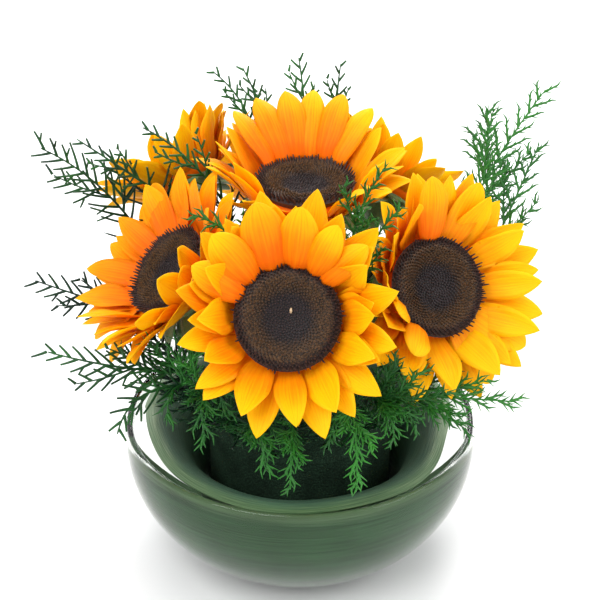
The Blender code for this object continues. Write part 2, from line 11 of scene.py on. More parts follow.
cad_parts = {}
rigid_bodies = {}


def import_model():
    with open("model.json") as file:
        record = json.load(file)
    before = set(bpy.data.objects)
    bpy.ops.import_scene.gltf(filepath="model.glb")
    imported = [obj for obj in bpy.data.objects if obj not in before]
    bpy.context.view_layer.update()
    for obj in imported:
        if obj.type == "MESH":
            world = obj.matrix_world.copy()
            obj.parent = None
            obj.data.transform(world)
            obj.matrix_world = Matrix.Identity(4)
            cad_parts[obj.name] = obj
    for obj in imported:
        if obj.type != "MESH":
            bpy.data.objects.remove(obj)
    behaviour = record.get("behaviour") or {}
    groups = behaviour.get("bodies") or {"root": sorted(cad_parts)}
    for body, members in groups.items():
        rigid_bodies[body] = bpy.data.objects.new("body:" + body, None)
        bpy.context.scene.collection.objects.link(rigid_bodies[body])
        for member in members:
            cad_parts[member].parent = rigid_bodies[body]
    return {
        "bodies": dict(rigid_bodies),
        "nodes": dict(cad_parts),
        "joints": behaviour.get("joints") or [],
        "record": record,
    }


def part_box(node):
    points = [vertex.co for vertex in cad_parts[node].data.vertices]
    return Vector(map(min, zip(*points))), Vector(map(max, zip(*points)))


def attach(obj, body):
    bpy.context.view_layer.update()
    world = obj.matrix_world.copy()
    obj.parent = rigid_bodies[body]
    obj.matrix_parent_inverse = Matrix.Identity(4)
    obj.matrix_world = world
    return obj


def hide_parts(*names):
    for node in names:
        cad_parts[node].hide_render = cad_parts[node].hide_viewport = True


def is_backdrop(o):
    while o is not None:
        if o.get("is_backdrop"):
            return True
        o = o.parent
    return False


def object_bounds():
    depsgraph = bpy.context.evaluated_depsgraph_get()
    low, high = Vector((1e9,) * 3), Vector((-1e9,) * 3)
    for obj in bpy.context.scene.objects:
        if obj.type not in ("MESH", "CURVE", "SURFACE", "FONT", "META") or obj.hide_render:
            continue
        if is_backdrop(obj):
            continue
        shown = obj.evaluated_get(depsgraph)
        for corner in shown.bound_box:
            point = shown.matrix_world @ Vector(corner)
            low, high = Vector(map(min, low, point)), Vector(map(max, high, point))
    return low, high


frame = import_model()
CAD_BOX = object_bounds()

bl_info = {
    "name": "Sunflower Bowl",
    "version": (1, 0, 0),
    "blender": (4, 5, 0),
    "location": "View3D > Sidebar > Sunflower Bowl",
    "description": "Builds sunflowers and fine greenery in a leaf-lined glass bowl",
    "category": "Add Mesh",
}

SEED = 41
BOWL_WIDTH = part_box("glass_bowl")[1].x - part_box("glass_bowl")[0].x
DISC_RADIUS = 0.0262
CORE_THICK = 0.0090
STEM_FOCUS = np.array([0.0, 0.0, 0.020])
STEM_FOOT = 0.0740
TOWARDS_VIEW = (0.0, -0.88, 0.47)
GAP = 0.0003

# name, disc centre, facing, size, petals in a layer, cup in degrees,
# and petals pushed by a neighbour as azimuth, half width and change of cup in degrees
BLOOMS = (
    ("front", (-0.006, -0.085, 0.193), (0.01, -0.88, 0.474), 1.0, 12, 42,
     ((90, 60, -8), (0, 66, 23), (180, 66, 21), (270, 50, 3))),
    ("right", (0.071, -0.031, 0.182), (0.36, -0.77, 0.52), 1.03, 12, 38,
     ((176, 64, 24), (130, 40, 14))),
    ("left", (-0.067, -0.031, 0.190), (-0.664, -0.327, 0.674), 0.98, 12, 36,
     ((340, 60, 27), (50, 40, 10), (250, 60, 14))),
    ("top", (0.003, 0.012, 0.221), (0.0, -0.12, 0.993), 1.04, 12, 46,
     ((270, 55, -26), (90, 50, 10), (139, 35, 8), (45, 35, 8), (200, 34, 13), (318, 34, 14))),
    ("back_left", (-0.070, 0.062, 0.211), (-0.50, 0.45, 0.74), 0.90, 9, 40,
     ((63, 60, 26), (147, 45, 20))),
    ("back_right", (0.054, 0.068, 0.199), (0.42, 0.60, 0.68), 0.88, 9, 40,
     ((115, 60, 18), (24, 50, 22))),
    ("back", (-0.008, 0.112, 0.184), (0.0, 0.85, 0.53), 0.90, 9, 36,
     ((90, 60, 10), (0, 45, 18), (150, 50, 24))),
)

# Broad petals over the others: azimuth, length, width, cup in degrees;
# those with a high cup fold over the seed head's edge
FOLDED = {
    "front": ((108, 0.040, 0.0215, 38), (82, 0.038, 0.0190, 44), (60, 0.036, 0.0150, 48), (134, 0.036, 0.0195, 38),
              (152, 0.033, 0.0160, 34), (44, 0.034, 0.0140, 40)),
    "right": ((206, 0.024, 0.0150, 60), (236, 0.028, 0.0160, 44), (100, 0.038, 0.0170, 34), (70, 0.040, 0.0180, 30),
              (326, 0.038, 0.0190, 14), (300, 0.037, 0.0180, 10)),
    "left": ((276, 0.034, 0.0175, 12), (250, 0.036, 0.0185, 6), (226, 0.037, 0.0190, 10), (202, 0.036, 0.0180, 14),
             (120, 0.038, 0.0170, 30), (96, 0.038, 0.0160, 30)),
    "top": ((46, 0.040, 0.0150, 46), (66, 0.042, 0.0165, 52), (84, 0.043, 0.0160, 50), (101, 0.042, 0.0165, 54),
            (119, 0.042, 0.0160, 48), (138, 0.040, 0.0150, 44)),
    "back_left": ((236, 0.032, 0.0170, 20), (205, 0.034, 0.0175, 24), (270, 0.032, 0.0170, 26),
                  (84, 0.029, 0.0190, 44), (112, 0.030, 0.0180, 42), (54, 0.030, 0.0175, 50)),
    "back_right": ((300, 0.032, 0.0170, 24), (332, 0.034, 0.0170, 20), (80, 0.036, 0.0190, 46),
                   (56, 0.036, 0.0180, 44)),
}

# The azimuth at which a bloom's petals are painted yellowest, as painted light on the lower side of each bloom, and how
# much yellower than others a bloom is
PAINTED_LIGHT_SIDE = math.radians(305)
YELLOWER = {"left": -0.20, "right": 0.15, "back_left": 0.30, "back_right": 0.30}

# name, where the open part starts, bend, tip,
# longest branchlet, roll in degrees, tone from dark to light, style
SPRAYS = (
    ("right_high", (0.092, 0.026, 0.188), (0.108, 0.042, 0.226), (0.143, 0.066, 0.263),
     0.021, 10, 0.75, "fern"),
    ("right_tall", (0.108, 0.042, 0.194), (0.113, 0.064, 0.216), (0.112, 0.086, 0.246),
     0.019, -15, 0.65, "fern"),
    ("right_side", (0.103, 0.004, 0.178), (0.12, 0.02, 0.208), (0.138, 0.048, 0.237),
     0.016, 30, 0.55, "fern"),
    ("left_high", (-0.092, 0.032, 0.184), (-0.113, 0.026, 0.226), (-0.141, 0.004, 0.249),
     0.023, 10, 0.25, "comb"),
    ("left_top", (-0.083, 0.0235, 0.217), (-0.104, 0.013, 0.238), (-0.123, 0.018, 0.249),
     0.011, 0, 0.3, "comb"),
    ("left_mid", (-0.098, 0.006, 0.148), (-0.12, 0.002, 0.158), (-0.151, -0.002, 0.173),
     0.018, 0, 0.15, "comb"),
    ("left_low", (-0.064, -0.053, 0.143), (-0.098, -0.063, 0.15), (-0.133, -0.063, 0.162),
     0.018, 10, 0.3, "comb"),
    ("left_droop", (-0.062, -0.062, 0.14), (-0.088, -0.082, 0.152), (-0.094, -0.087, 0.124),
     0.016, 0, 0.3, "comb"),
    ("left_front", (-0.046, -0.075, 0.144), (-0.051, -0.098, 0.16), (-0.047, -0.101, 0.131),
     0.015, 20, 0.5, "leafy"),
    ("front_left", (-0.025, -0.085, 0.134), (-0.019, -0.108, 0.14), (-0.016, -0.106, 0.116),
     0.012, 0, 0.6, "leafy"),
    ("front_mid", (-0.004, -0.085, 0.132), (-0.004, -0.111, 0.138), (-0.005, -0.11, 0.108),
     0.011, 15, 0.6, "leafy"),
    ("front_right", (0.024, -0.082, 0.142), (0.028, -0.12, 0.158), (0.028, -0.116, 0.11),
     0.013, 0, 0.85, "leafy"),
    ("front_far", (0.04, -0.075, 0.14), (0.046, -0.092, 0.148), (0.048, -0.092, 0.124),
     0.012, -20, 0.7, "leafy"),
    ("right_low", (0.054, -0.058, 0.132), (0.078, -0.07, 0.138), (0.115, -0.07, 0.135),
     0.015, 0, 0.8, "leafy"),
    ("back_left", (-0.027, 0.08, 0.22), (-0.029, 0.092, 0.247), (-0.054, 0.095, 0.265),
     0.012, 0, 0.4, "comb"),
    ("back_mid", (-0.016, 0.074, 0.23), (-0.026, 0.078, 0.256), (-0.034, 0.08, 0.271),
     0.011, 20, 0.4, "comb"),
    ("back_top", (0.004, 0.074, 0.232), (0.002, 0.08, 0.26), (-0.001, 0.082, 0.277),
     0.013, 0, 0.5, "comb"),
    ("back_right", (0.022, 0.072, 0.23), (0.021, 0.078, 0.258), (0.024, 0.08, 0.273),
     0.011, -20, 0.4, "comb"),
    ("between_left", (-0.026, -0.046, 0.2), (-0.029, -0.07, 0.235), (-0.053, -0.08, 0.246),
     0.012, 0, 0.7, "fern"),
    ("between_far", (-0.042, 0.014, 0.212), (-0.06, 0.006, 0.247), (-0.084, -0.004, 0.263),
     0.012, 0, 0.4, "comb"),
    ("between_right", (0.0255, -0.046, 0.206), (0.0255, -0.061, 0.24), (0.042, -0.062, 0.264),
     0.0105, 0, 0.6, "fern"),
    ("between_low", (0.03, -0.052, 0.19), (0.033, -0.062, 0.228), (0.05, -0.071, 0.246),
     0.01, 10, 0.6, "fern"),
    ("rear_left", (-0.062, 0.074, 0.146), (-0.09, 0.1, 0.15), (-0.104, 0.112, 0.124),
     0.016, 0, 0.4, "comb"),
    ("rear_mid", (0.01, 0.085, 0.134), (0.012, 0.118, 0.142), (0.014, 0.124, 0.11),
     0.014, 0, 0.5, "comb"),
    ("rear_right", (0.064, 0.07, 0.142), (0.094, 0.09, 0.146), (0.112, 0.098, 0.126),
     0.016, 0, 0.5, "comb"),
)

# Distance between branchlets, needle length at a branchlet's root, forks a branchlet may have,
# and its lean as a share of the greatest
STYLES = {
    "comb": (0.0040, 0.0, 1, 1.0),
    "fern": (0.0052, 0.0056, 0, 0.9),
    "leafy": (0.0060, 0.0066, 0, 0.68),
}


def length_prop(name, text, value):
    return bpy.props.FloatProperty(name=name, description=text, default=value, unit="LENGTH", precision=4)


def colour_prop(name, text, value):
    return bpy.props.FloatVectorProperty(name=name, description=text, default=value, subtype="COLOR",
                                         size=3, min=0.0, max=1.0)


def angle_prop(name, text, degrees):
    return bpy.props.FloatProperty(name=name, description=text, default=math.radians(degrees), subtype="ANGLE")


def share_prop(name, text, value):
    return bpy.props.FloatProperty(name=name, description=text, default=value, subtype="FACTOR", min=0.0, max=1.0)


class BowlSettings(bpy.types.PropertyGroup):
    radius: length_prop("Radius", "Outer radius of the bowl at its widest", BOWL_WIDTH / 2)
    drop: length_prop("Drop", "Height of the shell's full curve below its widest ring", 0.0835)
    widest: length_prop("Widest height", "Height of the widest ring above the table", 0.0715)
    rim: length_prop("Rim height", "Height at which the shell is cut off", 0.0845)
    wall: length_prop("Wall", "Thickness of the glass wall", 0.0034)
    floor: length_prop("Floor", "Thickness of the glass base", 0.0075)
    steps: bpy.props.IntProperty(name="Steps", description="Faces round the bowl", default=108, min=36)
    tint: colour_prop("Tint", "Colour of the clear glass", (0.85, 0.88, 0.85))
    # The glass is tinted greyer towards the rim and towards the back
    rim_grey: colour_prop("Smoke", "Colour of the misted glass towards the rim", (0.62, 0.66, 0.62))


class LeafSettings(bpy.types.PropertyGroup):
    thickness: length_prop("Thickness", "Thickness of a lining leaf", 0.0010)
    span: angle_prop("Span", "Half of the angle that the outer leaf covers", 110)
    low: length_prop("Lowest", "Height of the outer leaf's lower edge", 0.0098)
    edge: length_prop("Edge", "Height of the outer leaf's upper edge in front", 0.0842)
    dip: length_prop("Dip", "How far the outer leaf's edge is lower at the sides", 0.0190)
    foot_radius: length_prop("Foot radius", "Radius of the inner leaf round the foam", 0.0600)
    lip_radius: length_prop("Lip radius", "Radius that the inner leaf's rolled margin reaches", 0.0977)
    lip_height: length_prop("Lip height", "Height of the rolled margin's edge", 0.0836)
    outer_colour: colour_prop("Outer leaf", "Colour of the leaf against the glass", (0.028, 0.078, 0.030))
    inner_colour: colour_prop("Inner leaf", "Colour of the rolled inner leaf", (0.078, 0.165, 0.105))
    # The margin's pale colour is painted light: the light that the rolled top catches
    painted_light_margin_colour: colour_prop("Margin", "Colour of the inner leaf's pale margin", (0.060, 0.125, 0.048))


class PetalSettings(bpy.types.PropertyGroup):
    length: length_prop("Length", "Length of a ray petal", 0.0440)
    width: length_prop("Width", "Greatest width of a ray petal", 0.0172)
    thickness: length_prop("Thickness", "Thickness of a petal along its middle", 0.0009)
    twist: angle_prop("Twist", "How far a petal is turned about its length", 12)
    base_colour: colour_prop("Base", "Colour at the petal's root", (0.86, 0.15, 0.0))
    body_colour: colour_prop("Body", "Colour of the petal's middle", (0.93, 0.27, 0.0))
    tip_colour: colour_prop("Tip", "Colour of the petal's tip", (0.98, 0.49, 0.001))


class DiscSettings(bpy.types.PropertyGroup):
    florets: bpy.props.IntProperty(name="Florets", description="Florets on one seed head", default=900, min=50)
    floret_width: length_prop("Floret width", "Radius of a floret at its foot", 0.00070)
    floret_length: length_prop("Floret length", "Length of a floret in the middle ring", 0.0019)
    rim_colour: colour_prop("Rim", "Colour of the spiky outer florets", (0.022, 0.006, 0.006))
    ring_colour: colour_prop("Ring", "Colour of the open ring of florets", (0.075, 0.038, 0.012))
    eye_colour: colour_prop("Eye", "Colour of the closed florets in the middle", (0.012, 0.007, 0.013))


class StemSettings(bpy.types.PropertyGroup):
    radius: length_prop("Radius", "Radius of a bloom's stem", 0.0042)
    bracts: bpy.props.IntProperty(name="Bracts", description="Bracts in one row behind a bloom", default=11, min=5)
    bract_length: length_prop("Bract length", "Length of a bract", 0.0230)
    colour: colour_prop("Colour", "Colour of the stems and bracts", (0.10, 0.22, 0.05))


class SpraySettings(bpy.types.PropertyGroup):
    thickness: length_prop("Thickness", "Half thickness of a branchlet at its root", 0.00090)
    needle_width: length_prop("Needle width", "Half width of a needle", 0.00056)
    filler_spacing: length_prop("Filler spacing", "Distance between branchlets on the hidden stretch of a twig", 0.0058)
    filler_reach: length_prop("Filler reach", "Length of a branchlet on the hidden stretch of a twig", 0.0190)
    lean: angle_prop("Lean", "Angle between a twig and its branchlets", 44)
    dark_colour: colour_prop("Dark", "Colour of the darkest needles", (0.004, 0.026, 0.014))
    light_colour: colour_prop("Light", "Colour of the lightest needles", (0.034, 0.235, 0.024))


class StageSettings(bpy.types.PropertyGroup):
    lens: bpy.props.FloatProperty(name="Lens", description="Focal length of the camera", default=67.2,
                                  unit="CAMERA")
    pitch: angle_prop("Pitch", "How far the camera looks down", 27.4)
    floor_colour: colour_prop("Floor", "Colour of the floor and backdrop", (0.90, 0.90, 0.905))
    key_power: bpy.props.FloatProperty(name="Key power", description="Power of the main soft light",
                                       default=13.0, unit="POWER")
    world_strength: share_prop("Surrounding light", "Brightness of the light from all round", 0.75)


class Nodes:
    """Adds nodes to a tree and links them, for materials and for geometry alike."""

    def __init__(self, tree):
        self.tree = tree

    def add(self, kind, values=(), **settings):
        node = self.tree.nodes.new(kind)
        for key, value in settings.items():
            setattr(node, key, value)
        for key, value in dict(values).items():
            if isinstance(value, bpy.types.NodeSocket):
                self.tree.links.new(value, node.inputs[key])
            else:
                node.inputs[key].default_value = value
        return node

    def maths(self, operation, *values):
        return self.add("ShaderNodeMath", enumerate(values), operation=operation).outputs[0]

    def vector(self, operation, *values):
        return self.add("ShaderNodeVectorMath", enumerate(values), operation=operation).outputs[0]

    def bell(self, value, middle, width):
        """A smooth hump of height 1 round a middle value."""
        away = self.maths("DIVIDE", self.maths("SUBTRACT", value, middle), width)
        return self.maths("EXPONENT", self.maths("MULTIPLY", self.maths("MULTIPLY", away, away), -1.0))

    def mix(self, share, first, second, blend="MIX"):
        node = self.tree.nodes.new("ShaderNodeMix")
        node.data_type = "RGBA"
        node.blend_type = blend
        for index, value in ((0, share), (6, first), (7, second)):
            if isinstance(value, bpy.types.NodeSocket):
                self.tree.links.new(value, node.inputs[index])
            else:
                node.inputs[index].default_value = value if index == 0 else (*value, 1.0)
        return node.outputs[2]

    def ramp(self, share, stops):
        node = self.add("ShaderNodeValToRGB", {0: share})
        elements = node.color_ramp.elements
        elements[0].position, elements[1].position = stops[0][0], stops[-1][0]
        elements[0].color, elements[1].color = (*stops[0][1], 1.0), (*stops[-1][1], 1.0)
        for place, colour in stops[1:-1]:
            elements.new(place).color = (*colour, 1.0)
        return node.outputs[0]

    def noise(self, vector, scale, detail=3.0, roughness=0.5):
        values = {"Vector": vector, "Scale": scale, "Detail": detail, "Roughness": roughness}
        return self.add("ShaderNodeTexNoise", values).outputs["Fac"]

    def attribute(self, name, output="Fac"):
        return self.add("ShaderNodeAttribute", attribute_name=name).outputs[output]

    def bump(self, height, distance, strength=1.0):
        values = {"Height": height, "Distance": distance, "Strength": strength}
        return self.add("ShaderNodeBump", values).outputs[0]


def finish(name):
    """A new material, its tree's helper and its Principled shader."""
    material = bpy.data.materials.new(name)
    material.use_nodes = True
    return material, Nodes(material.node_tree), material.node_tree.nodes["Principled BSDF"]


def wire(nodes, shader, **sockets):
    """Links or sets the shader's sockets, named with underscores for spaces."""
    for key, value in sockets.items():
        socket = shader.inputs[key.replace("_", " ")]
        if isinstance(value, bpy.types.NodeSocket):
            nodes.tree.links.new(value, socket)
        else:
            socket.default_value = value


def uv_parts(nodes, across, along):
    """The piece's UV map, stretched."""
    place = nodes.add("ShaderNodeUVMap", uv_map="UVMap").outputs[0]
    return nodes.vector("MULTIPLY", place, (across, along, 1.0))


def object_place(nodes):
    return nodes.add("ShaderNodeTexCoord").outputs["Object"]


def petal_finish(settings):
    """Golden petal: deep orange at the root, yellow at the tip, with soft veins along it."""
    material, nodes, shader = finish("golden petal")
    place = nodes.add("ShaderNodeUVMap", uv_map="UVMap").outputs[0]
    along = nodes.add("ShaderNodeSeparateXYZ", {0: place}).outputs[1]
    tone = nodes.attribute("tone")
    cloud = nodes.noise(object_place(nodes), 60.0)
    veins = nodes.noise(uv_parts(nodes, 17.0, 1.2), 1.0, 2.0)
    shade = nodes.maths("ADD", along, nodes.maths("MULTIPLY", nodes.maths("SUBTRACT", cloud, 0.5), 0.50))
    shade = nodes.maths("ADD", shade, nodes.maths("MULTIPLY", nodes.maths("SUBTRACT", veins, 0.5), 0.40))
    shade = nodes.maths("ADD", shade, nodes.maths("MULTIPLY", nodes.maths("SUBTRACT", tone, 0.45), 0.75))
    colour = nodes.ramp(shade, (
        (0.0, settings.base_colour),
        (0.40, settings.body_colour),
        (0.95, settings.tip_colour),
    ))
    fibres = nodes.noise(uv_parts(nodes, 60.0, 2.0), 1.0, 2.0)
    groove = nodes.maths("ADD", nodes.maths("MULTIPLY", veins, 0.75), nodes.maths("MULTIPLY", fibres, 0.25))
    dark = nodes.ramp(groove, ((0.34, (0.95, 0.74, 0.6)), (0.54, (1.0, 1.0, 1.0))))
    colour = nodes.mix(0.7, colour, dark, "MULTIPLY")
    wire(nodes, shader, Base_Color=colour, Roughness=0.55, Subsurface_Weight=0.15,
         Normal=nodes.bump(groove, 0.0006, 0.45))
    shader.inputs["Subsurface Radius"].default_value = (0.006, 0.0030, 0.0004)
    shader.inputs["Subsurface Scale"].default_value = 1.0
    shader.inputs["Specular IOR Level"].default_value = 0.12
    return material


def floret_finish(settings):
    """Seed head: purplish-black eye, olive-brown ring and maroon-black spiky rim, read from each floret's place."""
    material, nodes, shader = finish("brown florets")
    share = nodes.attribute("share")
    along = nodes.attribute("along")
    colour = nodes.ramp(share, (
        (0.0, settings.eye_colour),
        (0.42, settings.eye_colour),
        (0.60, settings.ring_colour),
        (0.80, settings.ring_colour),
        (0.90, settings.rim_colour),
        (1.0, settings.rim_colour),
    ))
    grain = nodes.noise(object_place(nodes), 900.0)
    speck = nodes.ramp(grain, ((0.40, (0.25, 0.22, 0.22)), (0.62, (1.7, 1.5, 1.1))))
    colour = nodes.mix(1.0, colour, speck, "MULTIPLY")
    # Florets lighter towards their tips: painted highlight
    painted_tip_highlight = nodes.mix(0.4, colour, (0.13, 0.062, 0.024))
    colour = nodes.mix(nodes.maths("MULTIPLY", nodes.maths("POWER", along, 3.0), 0.30), colour, painted_tip_highlight)
    colour = nodes.mix(nodes.maths("GREATER_THAN", share, 1.5), colour, (0.62, 0.48, 0.30))
    wire(nodes, shader, Base_Color=colour, Roughness=0.62, Normal=nodes.bump(grain, 0.0003, 0.6))
    shader.inputs["Sheen Weight"].default_value = 0.06
    return material


def needle_finish(settings):
    """Needles from blue-green to fresh green, lighter towards their tips."""
    material, nodes, shader = finish("green needles")
    tone = nodes.attribute("tone")
    along = nodes.attribute("along")
    cloud = nodes.noise(object_place(nodes), 60.0)
    light = nodes.maths("ADD", tone, nodes.maths("MULTIPLY", nodes.maths("SUBTRACT", cloud, 0.5), 0.9))
    light = nodes.maths("ADD", light, nodes.maths("MULTIPLY", along, 0.18))
    colour = nodes.ramp(light, ((0.1, settings.dark_colour), (0.95, settings.light_colour)))
    grain = nodes.noise(object_place(nodes), 1400.0, 2.0)
    shade = nodes.ramp(grain, ((0.3, (0.7, 0.7, 0.7)), (0.7, (1.0, 1.0, 1.0))))
    wire(nodes, shader, Base_Color=nodes.mix(0.8, colour, shade, "MULTIPLY"), Roughness=0.42,
         Normal=nodes.bump(grain, 0.0002, 0.5))
    shader.inputs["Specular IOR Level"].default_value = 0.30
    return material


def stem_finish(settings):
    """Downy green stem and bracts with faint ribs."""
    material, nodes, shader = finish("downy green stem")
    place = object_place(nodes)
    down = nodes.noise(place, 1500.0, 2.0)
    cloud = nodes.noise(place, 90.0)
    dark = tuple(0.45 * part for part in settings.colour)
    light = tuple(min(1.0, 1.35 * part) for part in settings.colour)
    colour = nodes.ramp(cloud, ((0.3, dark), (0.55, settings.colour), (0.8, light)))
    pale = nodes.mix(nodes.maths("MULTIPLY", nodes.maths("POWER", down, 3.0), 0.9), colour, (0.35, 0.42, 0.25))
    wire(nodes, shader, Base_Color=pale, Roughness=0.6, Normal=nodes.bump(down, 0.0004, 0.7))
    shader.inputs["Sheen Weight"].default_value = 0.4
    return material


def outer_leaf_finish(settings):
    """Deep green leaf with fine streaks that run round the bowl and a paler upper edge; its inner face is painted
    paler, as painted light in the shade behind it.
    """
    material, nodes, shader = finish("deep green leaf")
    streaks = nodes.noise(uv_parts(nodes, 5.0, 46.0), 1.0, 4.0, 0.6)
    veins = nodes.noise(uv_parts(nodes, 6.0, 110.0), 1.0, 2.0)
    cloud = nodes.noise(object_place(nodes), 26.0)
    dark = tuple(0.55 * part for part in settings.outer_colour)
    light = tuple(1.55 * part for part in settings.outer_colour)
    shade = nodes.maths("ADD", nodes.maths("MULTIPLY", streaks, 0.45), nodes.maths("MULTIPLY", cloud, 0.25))
    shade = nodes.maths("ADD", shade, nodes.maths("MULTIPLY", veins, 0.30))
    colour = nodes.ramp(shade, ((0.38, dark), (0.50, settings.outer_colour), (0.64, light)))
    place = nodes.add("ShaderNodeUVMap", uv_map="UVMap").outputs[0]
    along = nodes.add("ShaderNodeSeparateXYZ", {0: place}).outputs[1]
    edge = nodes.add("ShaderNodeMapRange", {0: nodes.maths("ADD", along, nodes.maths("MULTIPLY", shade, 0.12)),
                                            1: 0.98, 2: 1.05, 4: 0.55}).outputs[0]
    colour = nodes.mix(edge, colour, (0.16, 0.24, 0.12))
    # The leaf's inner face is lightened: painted light where it lies in shade
    inside = nodes.ramp(shade, ((0.38, (0.10, 0.18, 0.10)), (0.62, (0.20, 0.30, 0.18))))
    colour = nodes.mix(nodes.attribute("outer"), inside, colour)
    ribs = nodes.maths("ADD", nodes.maths("MULTIPLY", veins, 0.5), nodes.maths("MULTIPLY", streaks, 0.5))
    wire(nodes, shader, Base_Color=colour, Roughness=0.55, Normal=nodes.bump(ribs, 0.0004, 0.12))
    shader.inputs["Specular IOR Level"].default_value = 0.10
    return material


def inner_leaf_finish(settings):
    """Dark inner leaf whose rolled margin is painted light, pale with green streaks and paler at the sides; its back
    face is paler, partly the leaf's paler underside and partly painted light.
    """
    material, nodes, shader = finish("leaf with painted light margin")
    place = nodes.add("ShaderNodeUVMap", uv_map="UVMap").outputs[0]
    along = nodes.add("ShaderNodeSeparateXYZ", {0: place}).outputs[1]
    streaks = nodes.noise(uv_parts(nodes, 9.0, 110.0), 1.0, 4.0, 0.6)
    ragged = nodes.maths("MULTIPLY", nodes.maths("SUBTRACT", streaks, 0.5), 0.22)
    round_bowl = nodes.add("ShaderNodeSeparateXYZ", {0: place}).outputs[0]
    aside = nodes.maths("MULTIPLY", nodes.maths("ABSOLUTE", nodes.maths("SUBTRACT", round_bowl, 0.5)), 2.0)
    reached = nodes.maths("ADD", nodes.maths("ADD", along, ragged), nodes.maths("MULTIPLY", aside, 0.10))
    margin = nodes.add("ShaderNodeMapRange", {0: reached, 1: 0.82, 2: 0.96}).outputs[0]
    dark = tuple(0.55 * part for part in settings.inner_colour)
    teal = (0.110, 0.210, 0.140)
    body = nodes.ramp(streaks, ((0.35, dark), (0.56, settings.inner_colour), (0.72, teal)))
    green = (0.032, 0.075, 0.028)
    # The rolled margin's pale colour is painted light on the roll's top, paler still at the sides
    pale = nodes.ramp(streaks, ((0.36, green), (0.52, settings.painted_light_margin_colour), (0.72, (0.15, 0.23, 0.10))))
    paler = nodes.ramp(streaks, ((0.36, (0.12, 0.20, 0.11)), (0.54, (0.22, 0.31, 0.20)), (0.70, (0.40, 0.48, 0.36))))
    pale = nodes.mix(nodes.maths("POWER", aside, 1.6), pale, paler)
    # Paler back face: partly the leaf's paler underside, partly painted light in the shaded gap
    back = nodes.ramp(streaks, ((0.35, (0.13, 0.21, 0.13)), (0.60, (0.24, 0.32, 0.23))))
    body = nodes.mix(nodes.attribute("outer"), body, back)
    ribs = nodes.noise(uv_parts(nodes, 12.0, 200.0), 1.0, 2.0)
    wire(nodes, shader, Base_Color=nodes.mix(margin, body, pale), Roughness=0.5,
         Normal=nodes.bump(ribs, 0.0005, 0.5))
    shader.inputs["Specular IOR Level"].default_value = 0.2
    return material


def foam_finish():
    """Wet foam: fine open cells in dark green, partly the wet foam's own colour and partly painted shade under the
    blooms.
    """
    material, nodes, shader = finish("wet floral foam")
    place = object_place(nodes)
    cells = nodes.add("ShaderNodeTexVoronoi", {"Vector": place, "Scale": 900.0}).outputs["Distance"]
    patches = nodes.noise(place, 60.0)
    # The dark green is partly painted shade: the foam lies in the blooms' shade
    colour = nodes.ramp(patches, ((0.3, (0.016, 0.038, 0.022)), (0.7, (0.036, 0.085, 0.048))))
    shade = nodes.ramp(cells, ((0.05, (1.1, 1.1, 1.1)), (0.55, (0.45, 0.45, 0.45))))
    wire(nodes, shader, Base_Color=nodes.mix(0.9, colour, shade, "MULTIPLY"), Roughness=0.85,
         Normal=nodes.bump(cells, 0.0008, 0.9))
    shader.inputs["Specular IOR Level"].default_value = 0.15
    return material


def glass_finish(settings):
    """Clear glass, faintly green, with a barely uneven surface."""
    material, nodes, shader = finish("clear bowl glass")
    waves = nodes.noise(object_place(nodes), 16.0, 2.0)
    smear = nodes.noise(object_place(nodes), 40.0, 3.0)
    rough = nodes.add("ShaderNodeMapRange", {0: smear, 1: 0.4, 2: 0.8, 3: 0.01, 4: 0.05}).outputs[0]
    place = nodes.add("ShaderNodeSeparateXYZ", {0: object_place(nodes)})
    uneven = nodes.maths("ADD", place.outputs[2], nodes.maths("MULTIPLY", nodes.maths("SUBTRACT", waves, 0.5), 0.012))
    uneven = nodes.maths("ADD", uneven, nodes.maths("MULTIPLY", place.outputs[1], 0.10))
    # Greyer glass towards the rim and towards the back
    greyer = nodes.add("ShaderNodeMapRange", {0: uneven, 1: 0.060, 2: 0.078}).outputs[0]
    wire(nodes, shader, Base_Color=nodes.mix(greyer, settings.tint, settings.rim_grey), Roughness=rough,
         Normal=nodes.bump(waves, 0.0006, 0.25))
    shader.inputs["Transmission Weight"].default_value = 1.0
    shader.inputs["IOR"].default_value = 1.13
    shader.inputs["Coat Weight"].default_value = 0.8
    shader.inputs["Coat IOR"].default_value = 1.35
    shader.inputs["Coat Roughness"].default_value = 0.02
    return material


def floor_finish(settings):
    """Plain pale sheet for the floor and backdrop."""
    material, nodes, shader = finish("pale floor")
    cloud = nodes.noise(object_place(nodes), 3.0)
    low = tuple(0.97 * part for part in settings.floor_colour)
    colour = nodes.ramp(cloud, ((0.3, low), (0.7, settings.floor_colour)))
    wire(nodes, shader, Base_Color=colour, Roughness=0.55)
    return material


def unit(vector):
    return np.asarray(vector, float) / np.linalg.norm(vector)


def curve(start, bend, end, count):
    """Points along a quadratic curve."""
    start, bend, end = (np.asarray(point, float) for point in (start, bend, end))
    shares = np.linspace(0, 1, count)[:, None]
    return (1 - shares) ** 2 * start + 2 * shares * (1 - shares) * bend + shares**2 * end


def piece_of(name, points, faces, material, uvs=None):
    """A smooth mesh piece in the frame; uvs gives each point's place on the map."""
    mesh = bpy.data.meshes.new(name)
    mesh.from_pydata(np.asarray(points, float).tolist(), [], faces)
    mesh.materials.append(material)
    mesh.shade_smooth()
    piece = bpy.data.objects.new(name, mesh)
    bpy.context.scene.collection.objects.link(piece)
    if uvs is not None:
        layer = mesh.uv_layers.new(name="UVMap")
        corners = np.zeros(len(mesh.loops), np.int32)
        mesh.loops.foreach_get("vertex_index", corners)
        layer.data.foreach_set("uv", np.asarray(uvs, np.float32)[corners].ravel())
    return piece


def number_each_point(piece, name, values):
    piece.data.attributes.new(name, "FLOAT", "POINT").data.foreach_set("value", np.asarray(values, np.float32))


def seat(piece, slot, *nodes):
    """The piece rides on the arrangement and stands for its solids."""
    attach(piece, "root")
    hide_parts(*nodes)
    return piece


